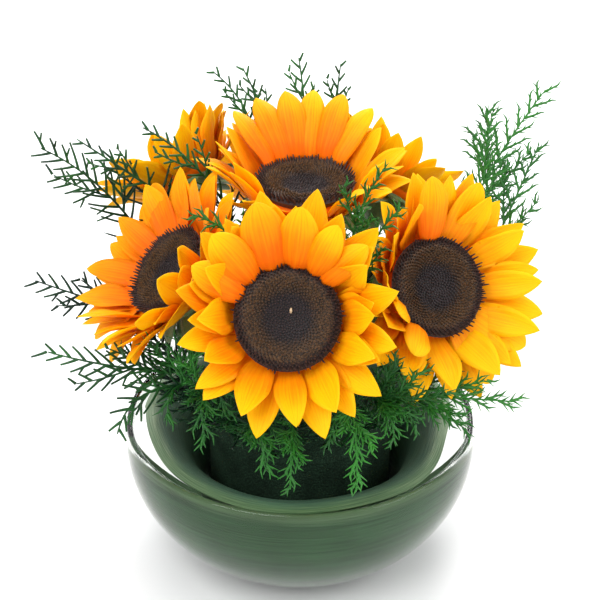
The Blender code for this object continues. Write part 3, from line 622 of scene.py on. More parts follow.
def lathe(profile, steps, frame=np.eye(3), centre=(0.0, 0.0, 0.0)):
    """Points and faces of a closed body turned about Z, from a profile that starts and ends on the axis."""
    first, *rings, last = profile
    angles = math.tau * np.arange(steps) / steps
    points = [(0.0, 0.0, first[1])]
    for radius, height in rings:
        points += [(radius * math.cos(angle), radius * math.sin(angle), height) for angle in angles]
    points.append((0.0, 0.0, last[1]))
    end = len(points) - 1
    faces = []
    for step in range(steps):
        after = (step + 1) % steps
        faces.append((0, 1 + step, 1 + after))
        for ring in range(len(rings) - 1):
            low = 1 + ring * steps
            faces.append((low + step, low + steps + step, low + steps + after, low + after))
        low = 1 + (len(rings) - 1) * steps
        faces.append((low + step, end, low + after))
    return np.asarray(points) @ np.asarray(frame).T + np.asarray(centre), faces


def tube(path, radii, sides):
    """Points and faces of a closed tube along a path."""
    path = np.asarray(path, float)
    tangents = np.gradient(path, axis=0)
    side = unit(np.cross(tangents[0], (0.31, 0.22, 0.93)))
    points = []
    for point, tangent, radius in zip(path, tangents, radii):
        along = unit(tangent)
        side = unit(side - along * np.dot(side, along))
        across = np.cross(along, side)
        for corner in range(sides):
            angle = math.tau * corner / sides
            points.append(point + radius * (side * math.cos(angle) + across * math.sin(angle)))
    faces = [tuple(reversed(range(sides)))]
    for ring in range(len(path) - 1):
        low = ring * sides
        for corner in range(sides):
            after = (corner + 1) % sides
            faces.append((low + corner, low + after, low + sides + after, low + sides + corner))
    faces.append(tuple(range((len(path) - 1) * sides, len(path) * sides)))
    return np.array(points), faces


def joined(parts):
    """Several lots of points, faces and map places as one."""
    points, faces, places = [], [], []
    for some_points, some_faces, some_places in parts:
        start = sum(len(lot) for lot in points)
        points.append(np.asarray(some_points))
        places.append(np.asarray(some_places))
        faces += [tuple(start + corner for corner in face) for face in some_faces]
    return np.concatenate(points), faces, np.concatenate(places)


def bowl_radius(settings, height, inset=0.0):
    """The bowl's outer radius at a height, less an inset that follows the wall."""
    drop = (settings.widest - height) / (settings.drop - inset)
    return (settings.radius - inset) * math.sqrt(max(0.0, 1 - drop * drop))


def build_bowl(settings):
    """The glass as one turned shell with a rounded rim and an eased foot."""
    rings = 26
    outer = []
    for ring in range(rings + 1):
        height = settings.rim - (settings.rim - 0.0012) * (ring / rings) ** 1.15
        outer.append((bowl_radius(settings, height), height))
    inner = []
    for ring in range(rings + 1):
        height = settings.floor + (settings.rim - settings.floor) * (1 - (1 - ring / rings) ** 1.15)
        inner.append((bowl_radius(settings, height, settings.wall), height))
    half = settings.wall / 2
    middle = (outer[0][0] + inner[-1][0]) / 2
    lip = []
    for step in range(1, 8):
        angle = math.pi * step / 8
        lip.append((middle - half * math.cos(angle) * 0.98, settings.rim + 0.0014 * math.sin(angle)))
    base_edge = bowl_radius(settings, 0.0) - 0.0016
    foot = [(base_edge + 0.0007, 0.0004), (base_edge, 0.0), (base_edge * 0.5, 0.0)]
    floor = [(inner[0][0] * 0.4, settings.floor), (inner[0][0] * 0.8, settings.floor)]
    profile = [(0.0, settings.floor)] + floor + inner + lip + outer + foot + [(0.0, 0.0)]
    points, faces = lathe(profile, settings.steps)
    bowl = piece_of("bowl_glass", points, faces, glass_finish(settings))
    bowl.data.set_sharp_from_angle(angle=math.radians(60))
    seat(bowl, "glass", "glass_bowl")


def leaf_sheet(name, grid, thick, material, closed_round):
    """A thin leaf from a grid of points, thickened towards the bowl's axis; it may close on itself."""
    outer = np.asarray(grid, float)
    rows, columns = outer.shape[:2]
    outwards = outer * (1, 1, 0)
    outwards /= np.linalg.norm(outwards, axis=2, keepdims=True)
    slope = np.gradient(outer, axis=0)
    run = np.sum(slope * outwards, axis=2, keepdims=True)
    normal = run * (0, 0, 1) - slope[..., 2:] * outwards
    normal /= np.linalg.norm(normal, axis=2, keepdims=True)
    half = rows * columns
    points = np.concatenate([outer.reshape(-1, 3), (outer + normal * thick).reshape(-1, 3)])
    column, row = np.meshgrid(np.linspace(0, 1, columns), np.linspace(0, 1, rows))
    if closed_round:
        column = 1 - np.abs(2 * column - 1)
    places = np.tile(np.stack([column.ravel(), row.ravel()], 1), (2, 1))
    wraps = columns if closed_round else columns - 1
    faces = []
    for line in range(rows - 1):
        for place in range(wraps):
            after = (place + 1) % columns
            a, b = line * columns + place, line * columns + after
            faces.append((a, b, b + columns, a + columns))
            faces.append((half + a, half + a + columns, half + b + columns, half + b))
    top = (rows - 1) * columns
    for place in range(wraps):
        after = (place + 1) % columns
        faces.append((place, half + place, half + after, after))
        faces.append((top + place, top + after, half + top + after, half + top + place))
    if not closed_round:
        for line in range(rows - 1):
            a, d = line * columns, (line + 1) * columns
            faces.append((a, d, half + d, half + a))
            b, c = a + columns - 1, d + columns - 1
            faces.append((b, half + b, half + c, c))
    return piece_of(name, points, faces, material, places)


def eased_rows(rows, count):
    """A few rows of points drawn out to many along smooth curves."""
    rows = np.asarray(rows)
    padded = np.concatenate([2 * rows[:1] - rows[1:2], rows, 2 * rows[-1:] - rows[-2:-1]])
    result = []
    for place in np.linspace(0, len(rows) - 1, count):
        index = min(int(place), len(rows) - 2)
        share = place - index
        a, b, c, d = padded[index:index + 4]
        result.append(0.5 * (2 * b + (c - a) * share + (2 * a - 5 * b + 4 * c - d) * share**2
                             + (3 * b - a - 3 * c + d) * share**3))
    return np.array(result)


def outer_leaf_grid(bowl, leaf):
    """Points of the leaf against the glass; its edge is near the rim in front and dips at the sides."""
    rows, columns = 18, 121
    grid = []
    for reach in (0.35, 0.70, 0.93):
        radius = bowl_radius(bowl, leaf.low, bowl.wall) * reach
        angles = -math.pi / 2 + np.linspace(-leaf.span, leaf.span, columns)
        grid.append([(radius * math.cos(angle), radius * math.sin(angle), bowl.floor - 0.0001) for angle in angles])
    for row in range(rows):
        line = []
        for column in range(columns):
            across = 2 * column / (columns - 1) - 1
            angle = -math.pi / 2 + across * leaf.span
            aside = abs(across) * leaf.span / (math.pi / 2)
            top = leaf.edge - leaf.dip * aside**4.2 - 0.26 * max(0.0, aside - 0.97) ** 1.1
            top = max(top, leaf.low + 0.004)
            height = leaf.low + (top - leaf.low) * row / (rows - 1)
            radius = bowl_radius(bowl, height, bowl.wall) + 0.0001
            line.append((radius * math.cos(angle), radius * math.sin(angle), height))
        grid.append(line)
    return grid


def inner_leaf_grid(bowl, leaf):
    """Points of the rolled inner leaf, whose margin rolls out to the rim."""
    columns = 144
    roll = ((0.0092, 0.0004), (0.0046, 0.0020), (0.0, 0.0))
    wall = ((0.0, 0.0), (0.45, 0.10), (0.70, 0.30), (0.86, 0.55), (0.95, 0.80))
    foot = bowl.floor + GAP
    roll_start = leaf.lip_height + roll[0][1]
    grid = []
    for row in range(len(wall) + len(roll)):
        share = row / (len(wall) + len(roll) - 1)
        line = []
        for column in range(columns):
            angle = math.tau * column / columns - math.pi
            side = 0.5 + 0.5 * math.sin(angle)
            pull = 0.0085 * side + 0.0060 * math.exp(-((angle + 0.25) / 0.45) ** 2)
            pull += 0.0050 * math.exp(-((angle + 2.70) / 0.38) ** 2)
            if row < len(wall):
                up, out = wall[row]
                height = foot + (roll_start - foot) * up
                radius = leaf.foot_radius + (leaf.lip_radius - pull - roll[0][0] - leaf.foot_radius) * out
            else:
                inset, rise = roll[row - len(wall)]
                radius, height = leaf.lip_radius - pull - inset, leaf.lip_height + rise
            radius += 0.0008 * math.sin(7 * angle + 1) * share
            line.append((radius * math.cos(angle), radius * math.sin(angle), height))
        grid.append(line)
    return grid


def build_leaves(bowl, leaf):
    """The leaf against the glass, and the rolled inner leaf with painted light on its pale margin."""
    grid = outer_leaf_grid(bowl, leaf)
    outer = leaf_sheet("outer_leaf", grid, leaf.thickness, outer_leaf_finish(leaf), False)
    half = len(outer.data.vertices) // 2
    number_each_point(outer, "outer", [1.0] * half + [0.0] * half)
    seat(outer, "leaf", "leaf_liner")
    grid = eased_rows(inner_leaf_grid(bowl, leaf), 41)
    inner = leaf_sheet("inner_leaf", grid, leaf.thickness, inner_leaf_finish(leaf), True)
    half = len(inner.data.vertices) // 2
    number_each_point(inner, "outer", [1.0] * half + [0.0] * half)
    seat(inner, "pale_leaf", "leaf_ring")


def build_foam():
    """The foam keeps its solid, with its stem holes, and gets its finish."""
    foam = frame["nodes"]["floral_foam"]
    foam.data.materials.clear()
    foam.data.materials.append(foam_finish())


def bloom_frame(facing):
    """Columns: right, up and out of a bloom that faces a direction."""
    out = unit(facing)
    right = unit(np.cross((0.0, 0.46, 0.888), out))
    return np.array([right, np.cross(out, right), out]).T


def petal_breadth(share, foot, tip):
    """Half width along a petal, as a share of its greatest, from its share at the foot to a sharp or blunt tip."""
    rising = foot + (1 - foot) * np.sin(0.5 * math.pi * np.minimum(share, 0.52) / 0.52)
    past = np.clip((share - 0.52) / 0.48, 0, 1)
    return np.where(share < 0.52, rising, (1 - past**tip[0]) ** tip[1])


def blade(azimuth, root, size, angles, twist, ruffle, bend, frame, centre, sections=13, across=7, foot=0.40,
          tip=(1.9, 0.85), fold=0.20):
    """Points, faces and map places of one petal or bract, with an arched and gently waved face."""
    length, width, thick = size
    start, cup, tip_bend = angles
    radial = np.array([math.cos(azimuth), math.sin(azimuth), 0.0])
    around = np.array([-math.sin(azimuth), math.cos(azimuth), 0.0])
    axis = np.array([0.0, 0.0, 1.0])
    shares = 1 - (1 - np.linspace(0, 1, sections)) ** 1.25
    fine = np.linspace(0, 1, 97)
    rise = np.minimum(1.0, fine / 0.30)
    lift = start + (cup - start) * rise * rise * (3 - 2 * rise) + tip_bend * np.maximum(0.0, fine - 0.55)
    steps = length / 96
    reach = np.concatenate([[0], np.cumsum(np.cos(lift[:-1]) * steps)])
    climb = np.concatenate([[0], np.cumsum(np.sin(lift[:-1]) * steps)])
    sway = bend * length * fine**2
    top, under, places = [], [], []
    for share in shares:
        here, out, up, off = (np.interp(share, fine, line) for line in (lift, reach, climb, sway))
        normal = axis * math.cos(here) - radial * math.sin(here)
        side = around * math.cos(twist) + normal * math.sin(twist)
        face = normal * math.cos(twist) - around * math.sin(twist)
        half = max(0.5 * width * float(petal_breadth(np.array(share), foot, tip)), 0.0001)
        middle = radial * (root[0] + out) + axis * (root[1] + up) + around * off
        for place in np.linspace(-1, 1, across):
            raised = fold * half * abs(place) ** 1.4
            wave = ruffle * half * abs(place) ** 2 * math.sin(9 * share + 4 * place + 40 * ruffle + azimuth * 5)
            rib = -0.045 * half * math.exp(-((abs(place) - 0.38) / 0.16) ** 2)
            spot = middle + side * half * place + face * (raised + wave + rib)
            gauge = thick * (1 - 0.72 * abs(place) ** 3) * (1 - 0.4 * share)
            top.append(spot + face * gauge / 2)
            under.append(spot - face * gauge / 2)
            places.append((0.5 + 0.5 * place, share))
    count = len(top)
    points = (np.array(top + under)) @ frame.T + centre
    faces = []
    for row in range(sections - 1):
        for place in range(across - 1):
            a = row * across + place
            faces.append((a, a + 1, a + 1 + across, a + across)[::-1])
            faces.append((count + a, count + a + 1, count + a + 1 + across, count + a + across))
        a, b = row * across, row * across + across - 1
        faces.append((a, a + across, count + a + across, count + a)[::-1])
        faces.append((b, b + across, count + b + across, count + b))
    last = (sections - 1) * across
    for place in range(across - 1):
        faces.append((place, place + 1, count + place + 1, count + place))
        faces.append((last + place, last + place + 1, count + last + place + 1, count + last + place)[::-1])
    return points, faces, places + places


def pushed(azimuth, pushes):
    """The change of cup, in degrees, where a neighbour pushes the petals of a bloom."""
    change = 0.0
    for middle, half_width, degrees in pushes:
        away = abs((math.degrees(azimuth) - middle + 180) % 360 - 180) / half_width
        if away < 1:
            change += degrees * (1 - away * away) ** 2
    return change


def petal_rows(rng, looks, count, cup, pushes):
    """Each petal's layer, azimuth, cup, length, width and tip bend, in the same draws as the solids have."""
    for layer in range(2):
        for index in range(count):
            azimuth = math.tau * (index + 0.5 * layer) / count + rng.uniform(-0.05, 0.05)
            here = cup + (8, -12)[layer] + rng.uniform(-4, 4) + pushed(azimuth, pushes)
            length = looks.length * rng.uniform(0.94, 1.04) * (0.96, 1.0)[layer]
            width = looks.width * rng.uniform(0.92, 1.06)
            yield layer, azimuth, here, length, width, rng.uniform(-60, 10)
    for index in range(count):
        azimuth = math.tau * (index + 0.27) / count + rng.uniform(-0.09, 0.09)
        here = cup - 3 + rng.uniform(-7, 7) + pushed(azimuth, pushes)
        length = looks.length * rng.uniform(0.82, 0.98)
        yield 1, azimuth, here, length, looks.width * rng.uniform(0.72, 0.95), rng.uniform(-70, 20)


def build_petals(looks):
    """Each bloom's ray petals in their layers, on the green-gold core that carries them."""
    material = petal_finish(looks)
    for order, (name, centre, facing, size, count, cup, pushes) in enumerate(BLOOMS):
        rng = random.Random(SEED + order)
        detail = random.Random(SEED + 50 + order)
        frame_here = bloom_frame(facing)
        radius, thick = DISC_RADIUS * size, CORE_THICK * size
        profile = [(0.0, -thick), (radius * 0.84, -thick), (radius * 0.95, -thick * 0.55), (radius * 0.93, 0.0),
                   (0.0, 0.0)]
        points, faces = lathe(profile, 32, frame_here, centre)
        parts = [(points, faces, [(0.5, 0.02)] * len(points))]
        tones = [0.0] * len(points)
        yellower = YELLOWER.get(name, 0.0)
        for layer, azimuth, here, length, width, tip in petal_rows(rng, looks, count, cup, pushes):
            angles = [math.radians(angle) for angle in (6, here, tip)]
            root = (radius * 0.78, -thick * (0.36, 0.60)[layer])
            shape = (length * size, width * size, looks.thickness)
            parts.append(blade(azimuth, root, shape, angles, looks.twist * detail.uniform(0.4, 1.5),
                               detail.uniform(0.04, 0.19), detail.uniform(-0.09, 0.09), frame_here,
                               np.asarray(centre)))
            # Petals towards the painted light side get a yellower tone: painted light
            low = 0.5 + 0.5 * math.cos(azimuth - PAINTED_LIGHT_SIDE)
            tones += [yellower + 0.45 * detail.random() + 0.55 * low] * len(parts[-1][0])
        for turn, length, width, here in FOLDED.get(name, ()):
            high = here > 32
            angles = [math.radians(angle) for angle in (here + (26 if high else 4), here, -80 if high else -30)]
            root = (radius * 0.90, 0.0056 * size) if high else (radius * 0.84, 0.0)
            parts.append(blade(math.radians(turn), root, (length, width, looks.thickness), angles,
                               detail.uniform(-0.18, 0.18), 0.06, detail.uniform(-0.06, 0.06), frame_here,
                               np.asarray(centre), 17, 9, 0.60, (2.4, 0.66), -0.24 if high else 0.16))
            # Folded petals towards the painted light side get a yellower tone: painted light
            low = 0.5 + 0.5 * math.cos(math.radians(turn) - PAINTED_LIGHT_SIDE)
            tones += [yellower + 0.35 * detail.random() + 0.50 * low] * len(parts[-1][0])
        points, faces, places = joined(parts)
        bloom = piece_of(f"{name}_ray_petals", points, faces, material, places)
        number_each_point(bloom, "tone", tones)
        seat(bloom, "petal", f"{name}_petals")


def disc_height(share):
    """The seed head's profile from its middle to its edge."""
    shoulder = 0.0036 * math.exp(-(((share - 0.80) / 0.26) ** 2))
    dish = 0.0008 * math.exp(-((share / 0.3) ** 2))
    return 0.0030 + shoulder - dish


def floret_tree():
    """Geometry nodes that stand tapered florets on a spiral over the seed head."""
    tree = bpy.data.node_groups.new("floret spiral", "GeometryNodeTree")
    tree.interface.new_socket("Geometry", in_out="INPUT", socket_type="NodeSocketGeometry")
    for label, kind in (("Florets", "Int"), ("Radius", "Float"), ("Width", "Float"), ("Length", "Float"),
                        ("Seed", "Int"), ("Finish", "Material")):
        tree.interface.new_socket(label, in_out="INPUT", socket_type=f"NodeSocket{kind}")
    tree.interface.new_socket("Geometry", in_out="OUTPUT", socket_type="NodeSocketGeometry")
    nodes = Nodes(tree)
    start = nodes.add("NodeGroupInput").outputs
    index = nodes.add("GeometryNodeInputIndex").outputs[0]
    share = nodes.maths("SQRT", nodes.maths("DIVIDE", nodes.maths("ADD", index, 0.5), start["Florets"]))
    turn = nodes.maths("MULTIPLY", index, 2.399963)
    radius = nodes.maths("MULTIPLY", start["Radius"], share)
    scale = nodes.maths("DIVIDE", start["Radius"], DISC_RADIUS)
    shoulder = nodes.maths("MULTIPLY", nodes.bell(share, 0.80, 0.26), 0.0036)
    dish = nodes.maths("MULTIPLY", nodes.bell(share, 0.0, 0.3), 0.0008)
    height = nodes.maths("SUBTRACT", nodes.maths("ADD", shoulder, 0.0028), dish)
    place = nodes.add("ShaderNodeCombineXYZ", {
        0: nodes.maths("MULTIPLY", radius, nodes.maths("COSINE", turn)),
        1: nodes.maths("MULTIPLY", radius, nodes.maths("SINE", turn)),
        2: nodes.maths("MULTIPLY", height, scale),
    }).outputs[0]
    points = nodes.add("GeometryNodePoints", {"Count": start["Florets"], "Position": place}).outputs[0]
    points = nodes.add("GeometryNodeStoreNamedAttribute", {0: points, "Name": "share", "Value": share},
                       data_type="FLOAT", domain="POINT").outputs[0]
    cone = nodes.add("GeometryNodeMeshCone", {"Vertices": 5, "Side Segments": 1, "Radius Top": 0.35,
                                              "Radius Bottom": 1.0, "Depth": 1.0}, fill_type="NGON")
    rise = nodes.add("ShaderNodeSeparateXYZ", {0: nodes.add("GeometryNodeInputPosition").outputs[0]}).outputs[2]
    floret = nodes.add("GeometryNodeStoreNamedAttribute", {0: cone.outputs[0], "Name": "along", "Value": rise},
                       data_type="FLOAT", domain="POINT").outputs[0]
    wobble = nodes.add("FunctionNodeRandomValue", {"Min": 0.60, "Max": 1.35, "ID": index, "Seed": start["Seed"]},
                       data_type="FLOAT").outputs[1]
    rim = nodes.bell(share, 1.0, 0.11)
    ring = nodes.bell(share, 0.70, 0.17)
    longer = nodes.maths("ADD", nodes.maths("MULTIPLY", rim, 1.75), nodes.maths("MULTIPLY", ring, 0.45))
    tall = nodes.maths("MULTIPLY", nodes.maths("MULTIPLY", start["Length"], wobble),
                       nodes.maths("ADD", longer, 0.55))
    wide = nodes.maths("MULTIPLY", start["Width"], nodes.maths("SUBTRACT", 1.15, nodes.maths("MULTIPLY", ring, 0.3)))
    size = nodes.add("ShaderNodeCombineXYZ", {0: wide, 1: wide, 2: tall}).outputs[0]
    lean = nodes.maths("MULTIPLY", nodes.maths("SUBTRACT", share, 0.62), 1.5)
    lean = nodes.maths("MULTIPLY", lean, nodes.maths("MULTIPLY", wobble, share))
    away = nodes.add("ShaderNodeCombineXYZ", {0: nodes.maths("COSINE", turn), 1: nodes.maths("SINE", turn)})
    tilted = nodes.vector("MULTIPLY", away.outputs[0],
                          nodes.add("ShaderNodeCombineXYZ", {0: lean, 1: lean, 2: lean}).outputs[0])
    way = nodes.vector("ADD", tilted, (0.0, 0.0, 1.0))
    turned = nodes.add("FunctionNodeAlignRotationToVector", {"Vector": way}, axis="Z").outputs[0]
    stood = nodes.add("GeometryNodeInstanceOnPoints", {0: points, "Instance": floret, "Rotation": turned,
                                                       "Scale": size}).outputs[0]
    both = nodes.add("GeometryNodeJoinGeometry")
    tree.links.new(start["Geometry"], both.inputs[0])
    tree.links.new(stood, both.inputs[0])
    real = nodes.add("GeometryNodeRealizeInstances", {0: both.outputs[0]}).outputs[0]
    dressed = nodes.add("GeometryNodeSetMaterial", {0: real, "Material": start["Finish"]}).outputs[0]
    nodes.add("NodeGroupOutput", {0: dressed})
    return tree


def grown(piece, tree, **values):
    """Runs a geometry tree on a piece with named inputs, and keeps the result as the piece's plain mesh."""
    modifier = piece.modifiers.new(tree.name, "NODES")
    modifier.node_group = tree
    sockets = {item.name: item.identifier for item in tree.interface.items_tree if item.in_out == "INPUT"}
    for key, value in values.items():
        modifier[sockets[key.replace("_", " ")]] = value
    graph = bpy.context.evaluated_depsgraph_get()
    mesh = bpy.data.meshes.new_from_object(piece.evaluated_get(graph))
    piece.modifiers.clear()
    if not mesh.polygons:
        raise RuntimeError(f"{tree.name} made nothing on {piece.name}")
    piece.data = mesh
    mesh.name = piece.name
    return piece


def build_discs(looks):
    """Each bloom's dished seed head with florets on a spiral."""
    material = floret_finish(looks)
    tree = floret_tree()
    for order, (name, centre, facing, size, *_) in enumerate(BLOOMS):
        radius = DISC_RADIUS * size
        shares = np.linspace(0, 1, 14)[1:]
        dome = [(radius * share, GAP + disc_height(share) * size - 0.0006) for share in shares]
        profile = [(0.0, GAP), (radius * 0.86, GAP)] + dome[::-1] + [(0.0, GAP + disc_height(0.0) * size - 0.0006)]
        points, faces = lathe(profile, 48)
        across = list(np.linalg.norm(points[:, :2], axis=1) / radius)
        if name == "front":
            spot = Vector((0.0015, 0.0025, 0.0040))
            fleck, fleck_faces = tube([spot, spot + Vector((0.0001, 0.0010, 0.0014)),
                                       spot + Vector((0.0002, 0.0022, 0.0016))], (0.0005, 0.0007, 0.0003), 8)
            faces += [tuple(len(points) + corner for corner in face) for face in fleck_faces]
            points = np.concatenate([points, fleck])
            across += [2.0] * len(fleck)
        head = piece_of(f"{name}_seed_head", points, faces, material)
        number_each_point(head, "share", across)
        grown(head, tree, Florets=looks.florets, Radius=radius * 0.94, Width=looks.floret_width * size,
              Length=looks.floret_length * size, Seed=SEED + order, Finish=material)
        head.data.shade_smooth()
        head.data.set_sharp_from_angle(angle=math.radians(50))
        turn = Matrix(bloom_frame(facing).tolist()).to_4x4()
        head.data.transform(Matrix.Translation(Vector(centre)) @ turn)
        seat(head, "florets", f"{name}_disc")


def foot_of(point):
    """Where a straight stem that points at the focus ends inside the foam."""
    way = np.asarray(point, float) - STEM_FOCUS
    return STEM_FOCUS + way * (STEM_FOOT - STEM_FOCUS[2]) / way[2]


def build_stems(looks):
    """The calyx behind each bloom with its rows of pointed bracts, and the stem down into the foam."""
    material = stem_finish(looks)
    for order, (name, centre, facing, size, *_) in enumerate(BLOOMS):
        rng = random.Random(SEED + 200 + order)
        frame_here = bloom_frame(facing)
        centre, out = np.asarray(centre), unit(facing)
        radius = DISC_RADIUS * size
        top = -CORE_THICK * size - GAP
        profile = [(0.0, top - 0.0170 * size), (looks.radius * 1.25, top - 0.0160 * size),
                   (looks.radius * 1.7, top - 0.0140 * size), (radius * 0.50, top - 0.0085 * size),
                   (radius * 0.70, top - 0.0052 * size), (radius * 0.82, top - 0.0026 * size),
                   (radius * 0.84, top), (0.0, top)]
        points, faces = lathe(profile, 28, frame_here, centre)
        parts = [(points, faces, [(0.5, 0.5)] * len(points))]
        neck = centre - out * 0.026 * size
        bend = centre - out * 0.056
        straight = STEM_FOCUS + 0.74 * (bend - STEM_FOCUS)
        path = [centre - out * 0.020 * size] + list(curve(neck, bend, straight, 14)) + [foot_of(bend)]
        points, faces = tube(path, [looks.radius * 0.98] * len(path), 14)
        parts.append((points, faces, [(0.5, 0.5)] * len(points)))
        for row in range(2):
            for index in range(looks.bracts):
                azimuth = math.tau * (index + 0.5 * row) / looks.bracts + rng.uniform(-0.1, 0.1)
                angles = [math.radians(angle) for angle in (-8, rng.uniform(-22, 6) - 14 * row, rng.uniform(-70, -10))]
                root = (radius * 0.58, top - (0.0020 + 0.0022 * row) * size)
                length = looks.bract_length * size * rng.uniform(0.8, 1.0)
                parts.append(blade(azimuth, root, (length, 0.0105 * size, 0.0009), angles, rng.uniform(-0.2, 0.2),
                                   0.05, rng.uniform(-0.1, 0.1), frame_here, centre, 8, 5))
        points, faces, places = joined(parts)
        stem = piece_of(f"{name}_stem_and_bracts", points, faces, material, places)
        seat(stem, "stem", f"{name}_stem")


def chain(points, thick, needle, sides, tone):
    """A twig or branchlet: its points, half thickness and needle length at each, flat sides and tone."""
    points = np.asarray(points, float)
    shares = np.linspace(0, 1, len(points))
    sides = np.broadcast_to(np.asarray(sides, float), points.shape)
    return (points, thick[0] + (thick[1] - thick[0]) * shares, needle[0] + (needle[1] - needle[0]) * shares,
            sides, np.full(len(points), tone))


def carried_sides(directions):
    """A side for each step along a twig, square to the view at its tip and carried back without a turn."""
    sides = [unit(np.cross(directions[-1], TOWARDS_VIEW))]
    for along in directions[-2::-1]:
        along = unit(along)
        sides.append(unit(sides[-1] - along * np.dot(sides[-1], along)))
    return np.array(sides[::-1])


def branchlet(root, straight, along, length, thick, needle, flat, tone):
    """A gently curved branchlet that bends towards the way its twig runs."""
    steps = np.linspace(0, 1, 6)[:, None]
    points = root + straight * length * steps + along * length * 0.16 * steps**2
    return chain(points, (thick, thick * 0.62), (needle, needle * 0.6), flat, tone)


def branchlets(fine, sides, span, reach, style, looks, rng, tone):
    """Branchlets by turns on both sides of a stretch of twig, shorter towards its tip, some of them forked."""
    spacing, needle, forks, opening = style
    gone = np.concatenate([[0], np.cumsum(np.linalg.norm(np.diff(fine, axis=0), axis=1))])
    place, end = span[0] * gone[-1], span[1] * gone[-1]
    hand = 1
    while place < end:
        at = min(int(np.searchsorted(gone, place)), len(fine) - 2)
        along = unit(fine[at + 1] - fine[at])
        side = sides[at] * hand
        normal = np.cross(side, along)
        full = reach * (1.0 - 0.62 * (place - span[0] * gone[-1]) / (gone[-1] * (1.0 - span[0])))
        length = full * rng.uniform(0.80, 1.08)
        lean = looks.lean * opening * rng.uniform(0.80, 1.15)
        straight = unit(along * math.cos(lean) + side * math.sin(lean) + normal * rng.uniform(-0.35, 0.35))
        flat = unit(np.cross(normal, straight))
        yield branchlet(fine[at], straight, along, length, looks.thickness, needle, flat, tone)
        for fork in range(forks):
            if length > 0.0100 and rng.random() < 0.30:
                root = fine[at] + straight * length * rng.uniform(0.35, 0.62)
                turn = 0.62 * (1 if fork else -1)
                way = unit(straight * math.cos(turn) + flat * math.sin(turn) + normal * rng.uniform(-0.2, 0.2))
                yield branchlet(root, way, straight, length * rng.uniform(0.30, 0.46), looks.thickness * 0.85,
                                needle * 0.7, flat, tone)
        hand = -hand
        place += spacing * rng.uniform(0.8, 1.2)


def filler(fine, looks, rng, tone):
    """Denser branchlets all round the hidden stretch of a twig, above the foam, made darker as painted shade under the
    blooms.
    """
    place = float(np.argmax(fine[:, 2] > 0.106))
    step = np.linalg.norm(fine[1] - fine[0])
    turn = rng.uniform(0, math.tau)
    while place < len(fine) - 2:
        at = int(place)
        along = unit(fine[at + 1] - fine[at])
        side = unit(np.cross(along, (0.31, 0.22, 0.93)))
        for _ in range(3):
            turn += 2.4
            way = side * math.cos(turn) + np.cross(along, side) * math.sin(turn)
            straight = unit(along * rng.uniform(0.5, 1.1) + way)
            length = looks.filler_reach * rng.uniform(0.75, 1.1)
            yield branchlet(fine[at], straight, along, length, looks.thickness, 0.0058,
                            unit(np.cross(straight, along)), tone)
        place += looks.filler_spacing * rng.uniform(0.85, 1.15) / step


# Short extra twigs that start where a spray opens: spray, bend, tip, longest branchlet, tone, style
TUFTS = (
    ("left_low", (-0.072, -0.062, 0.158), (-0.078, -0.070, 0.172), 0.012, 0.55, "fern"),
    ("left_low", (-0.080, -0.062, 0.146), (-0.092, -0.064, 0.160), 0.013, 0.35, "fern"),
    ("left_droop", (-0.056, -0.072, 0.156), (-0.050, -0.070, 0.172), 0.013, 0.65, "leafy"),
    ("left_droop", (-0.070, -0.074, 0.146), (-0.068, -0.080, 0.128), 0.012, 0.50, "leafy"),
    ("left_front", (-0.040, -0.086, 0.152), (-0.036, -0.088, 0.140), 0.011, 0.45, "leafy"),
    ("front_left", (-0.012, -0.094, 0.140), (-0.008, -0.098, 0.124), 0.010, 0.35, "leafy"),
    ("front_right", (0.016, -0.094, 0.144), (0.014, -0.100, 0.124), 0.010, 0.45, "leafy"),
    ("front_far", (0.042, -0.080, 0.156), (0.047, -0.078, 0.160), 0.012, 0.55, "leafy"),
    ("front_far", (0.052, -0.084, 0.146), (0.060, -0.088, 0.130), 0.012, 0.60, "leafy"),
    ("front_far", (0.044, -0.086, 0.160), (0.050, -0.089, 0.174), 0.012, 0.40, "leafy"),
    ("front_far", (0.050, -0.090, 0.150), (0.060, -0.092, 0.168), 0.013, 0.45, "leafy"),
    ("front_far", (0.058, -0.088, 0.146), (0.075, -0.090, 0.154), 0.013, 0.50, "leafy"),
    ("left_low", (-0.056, -0.058, 0.160), (-0.049, -0.060, 0.175), 0.014, 0.45, "leafy"),
    ("left_droop", (-0.062, -0.068, 0.158), (-0.061, -0.068, 0.174), 0.014, 0.60, "leafy"),
    ("left_front", (-0.051, -0.078, 0.152), (-0.057, -0.080, 0.164), 0.013, 0.75, "leafy"),
    ("right_low", (0.058, -0.062, 0.144), (0.066, -0.064, 0.152), 0.013, 0.45, "leafy"),
    ("right_low", (0.070, -0.060, 0.140), (0.086, -0.056, 0.147), 0.013, 0.35, "fern"),
    ("right_low", (0.072, -0.070, 0.130), (0.088, -0.074, 0.120), 0.013, 0.65, "leafy"),
)


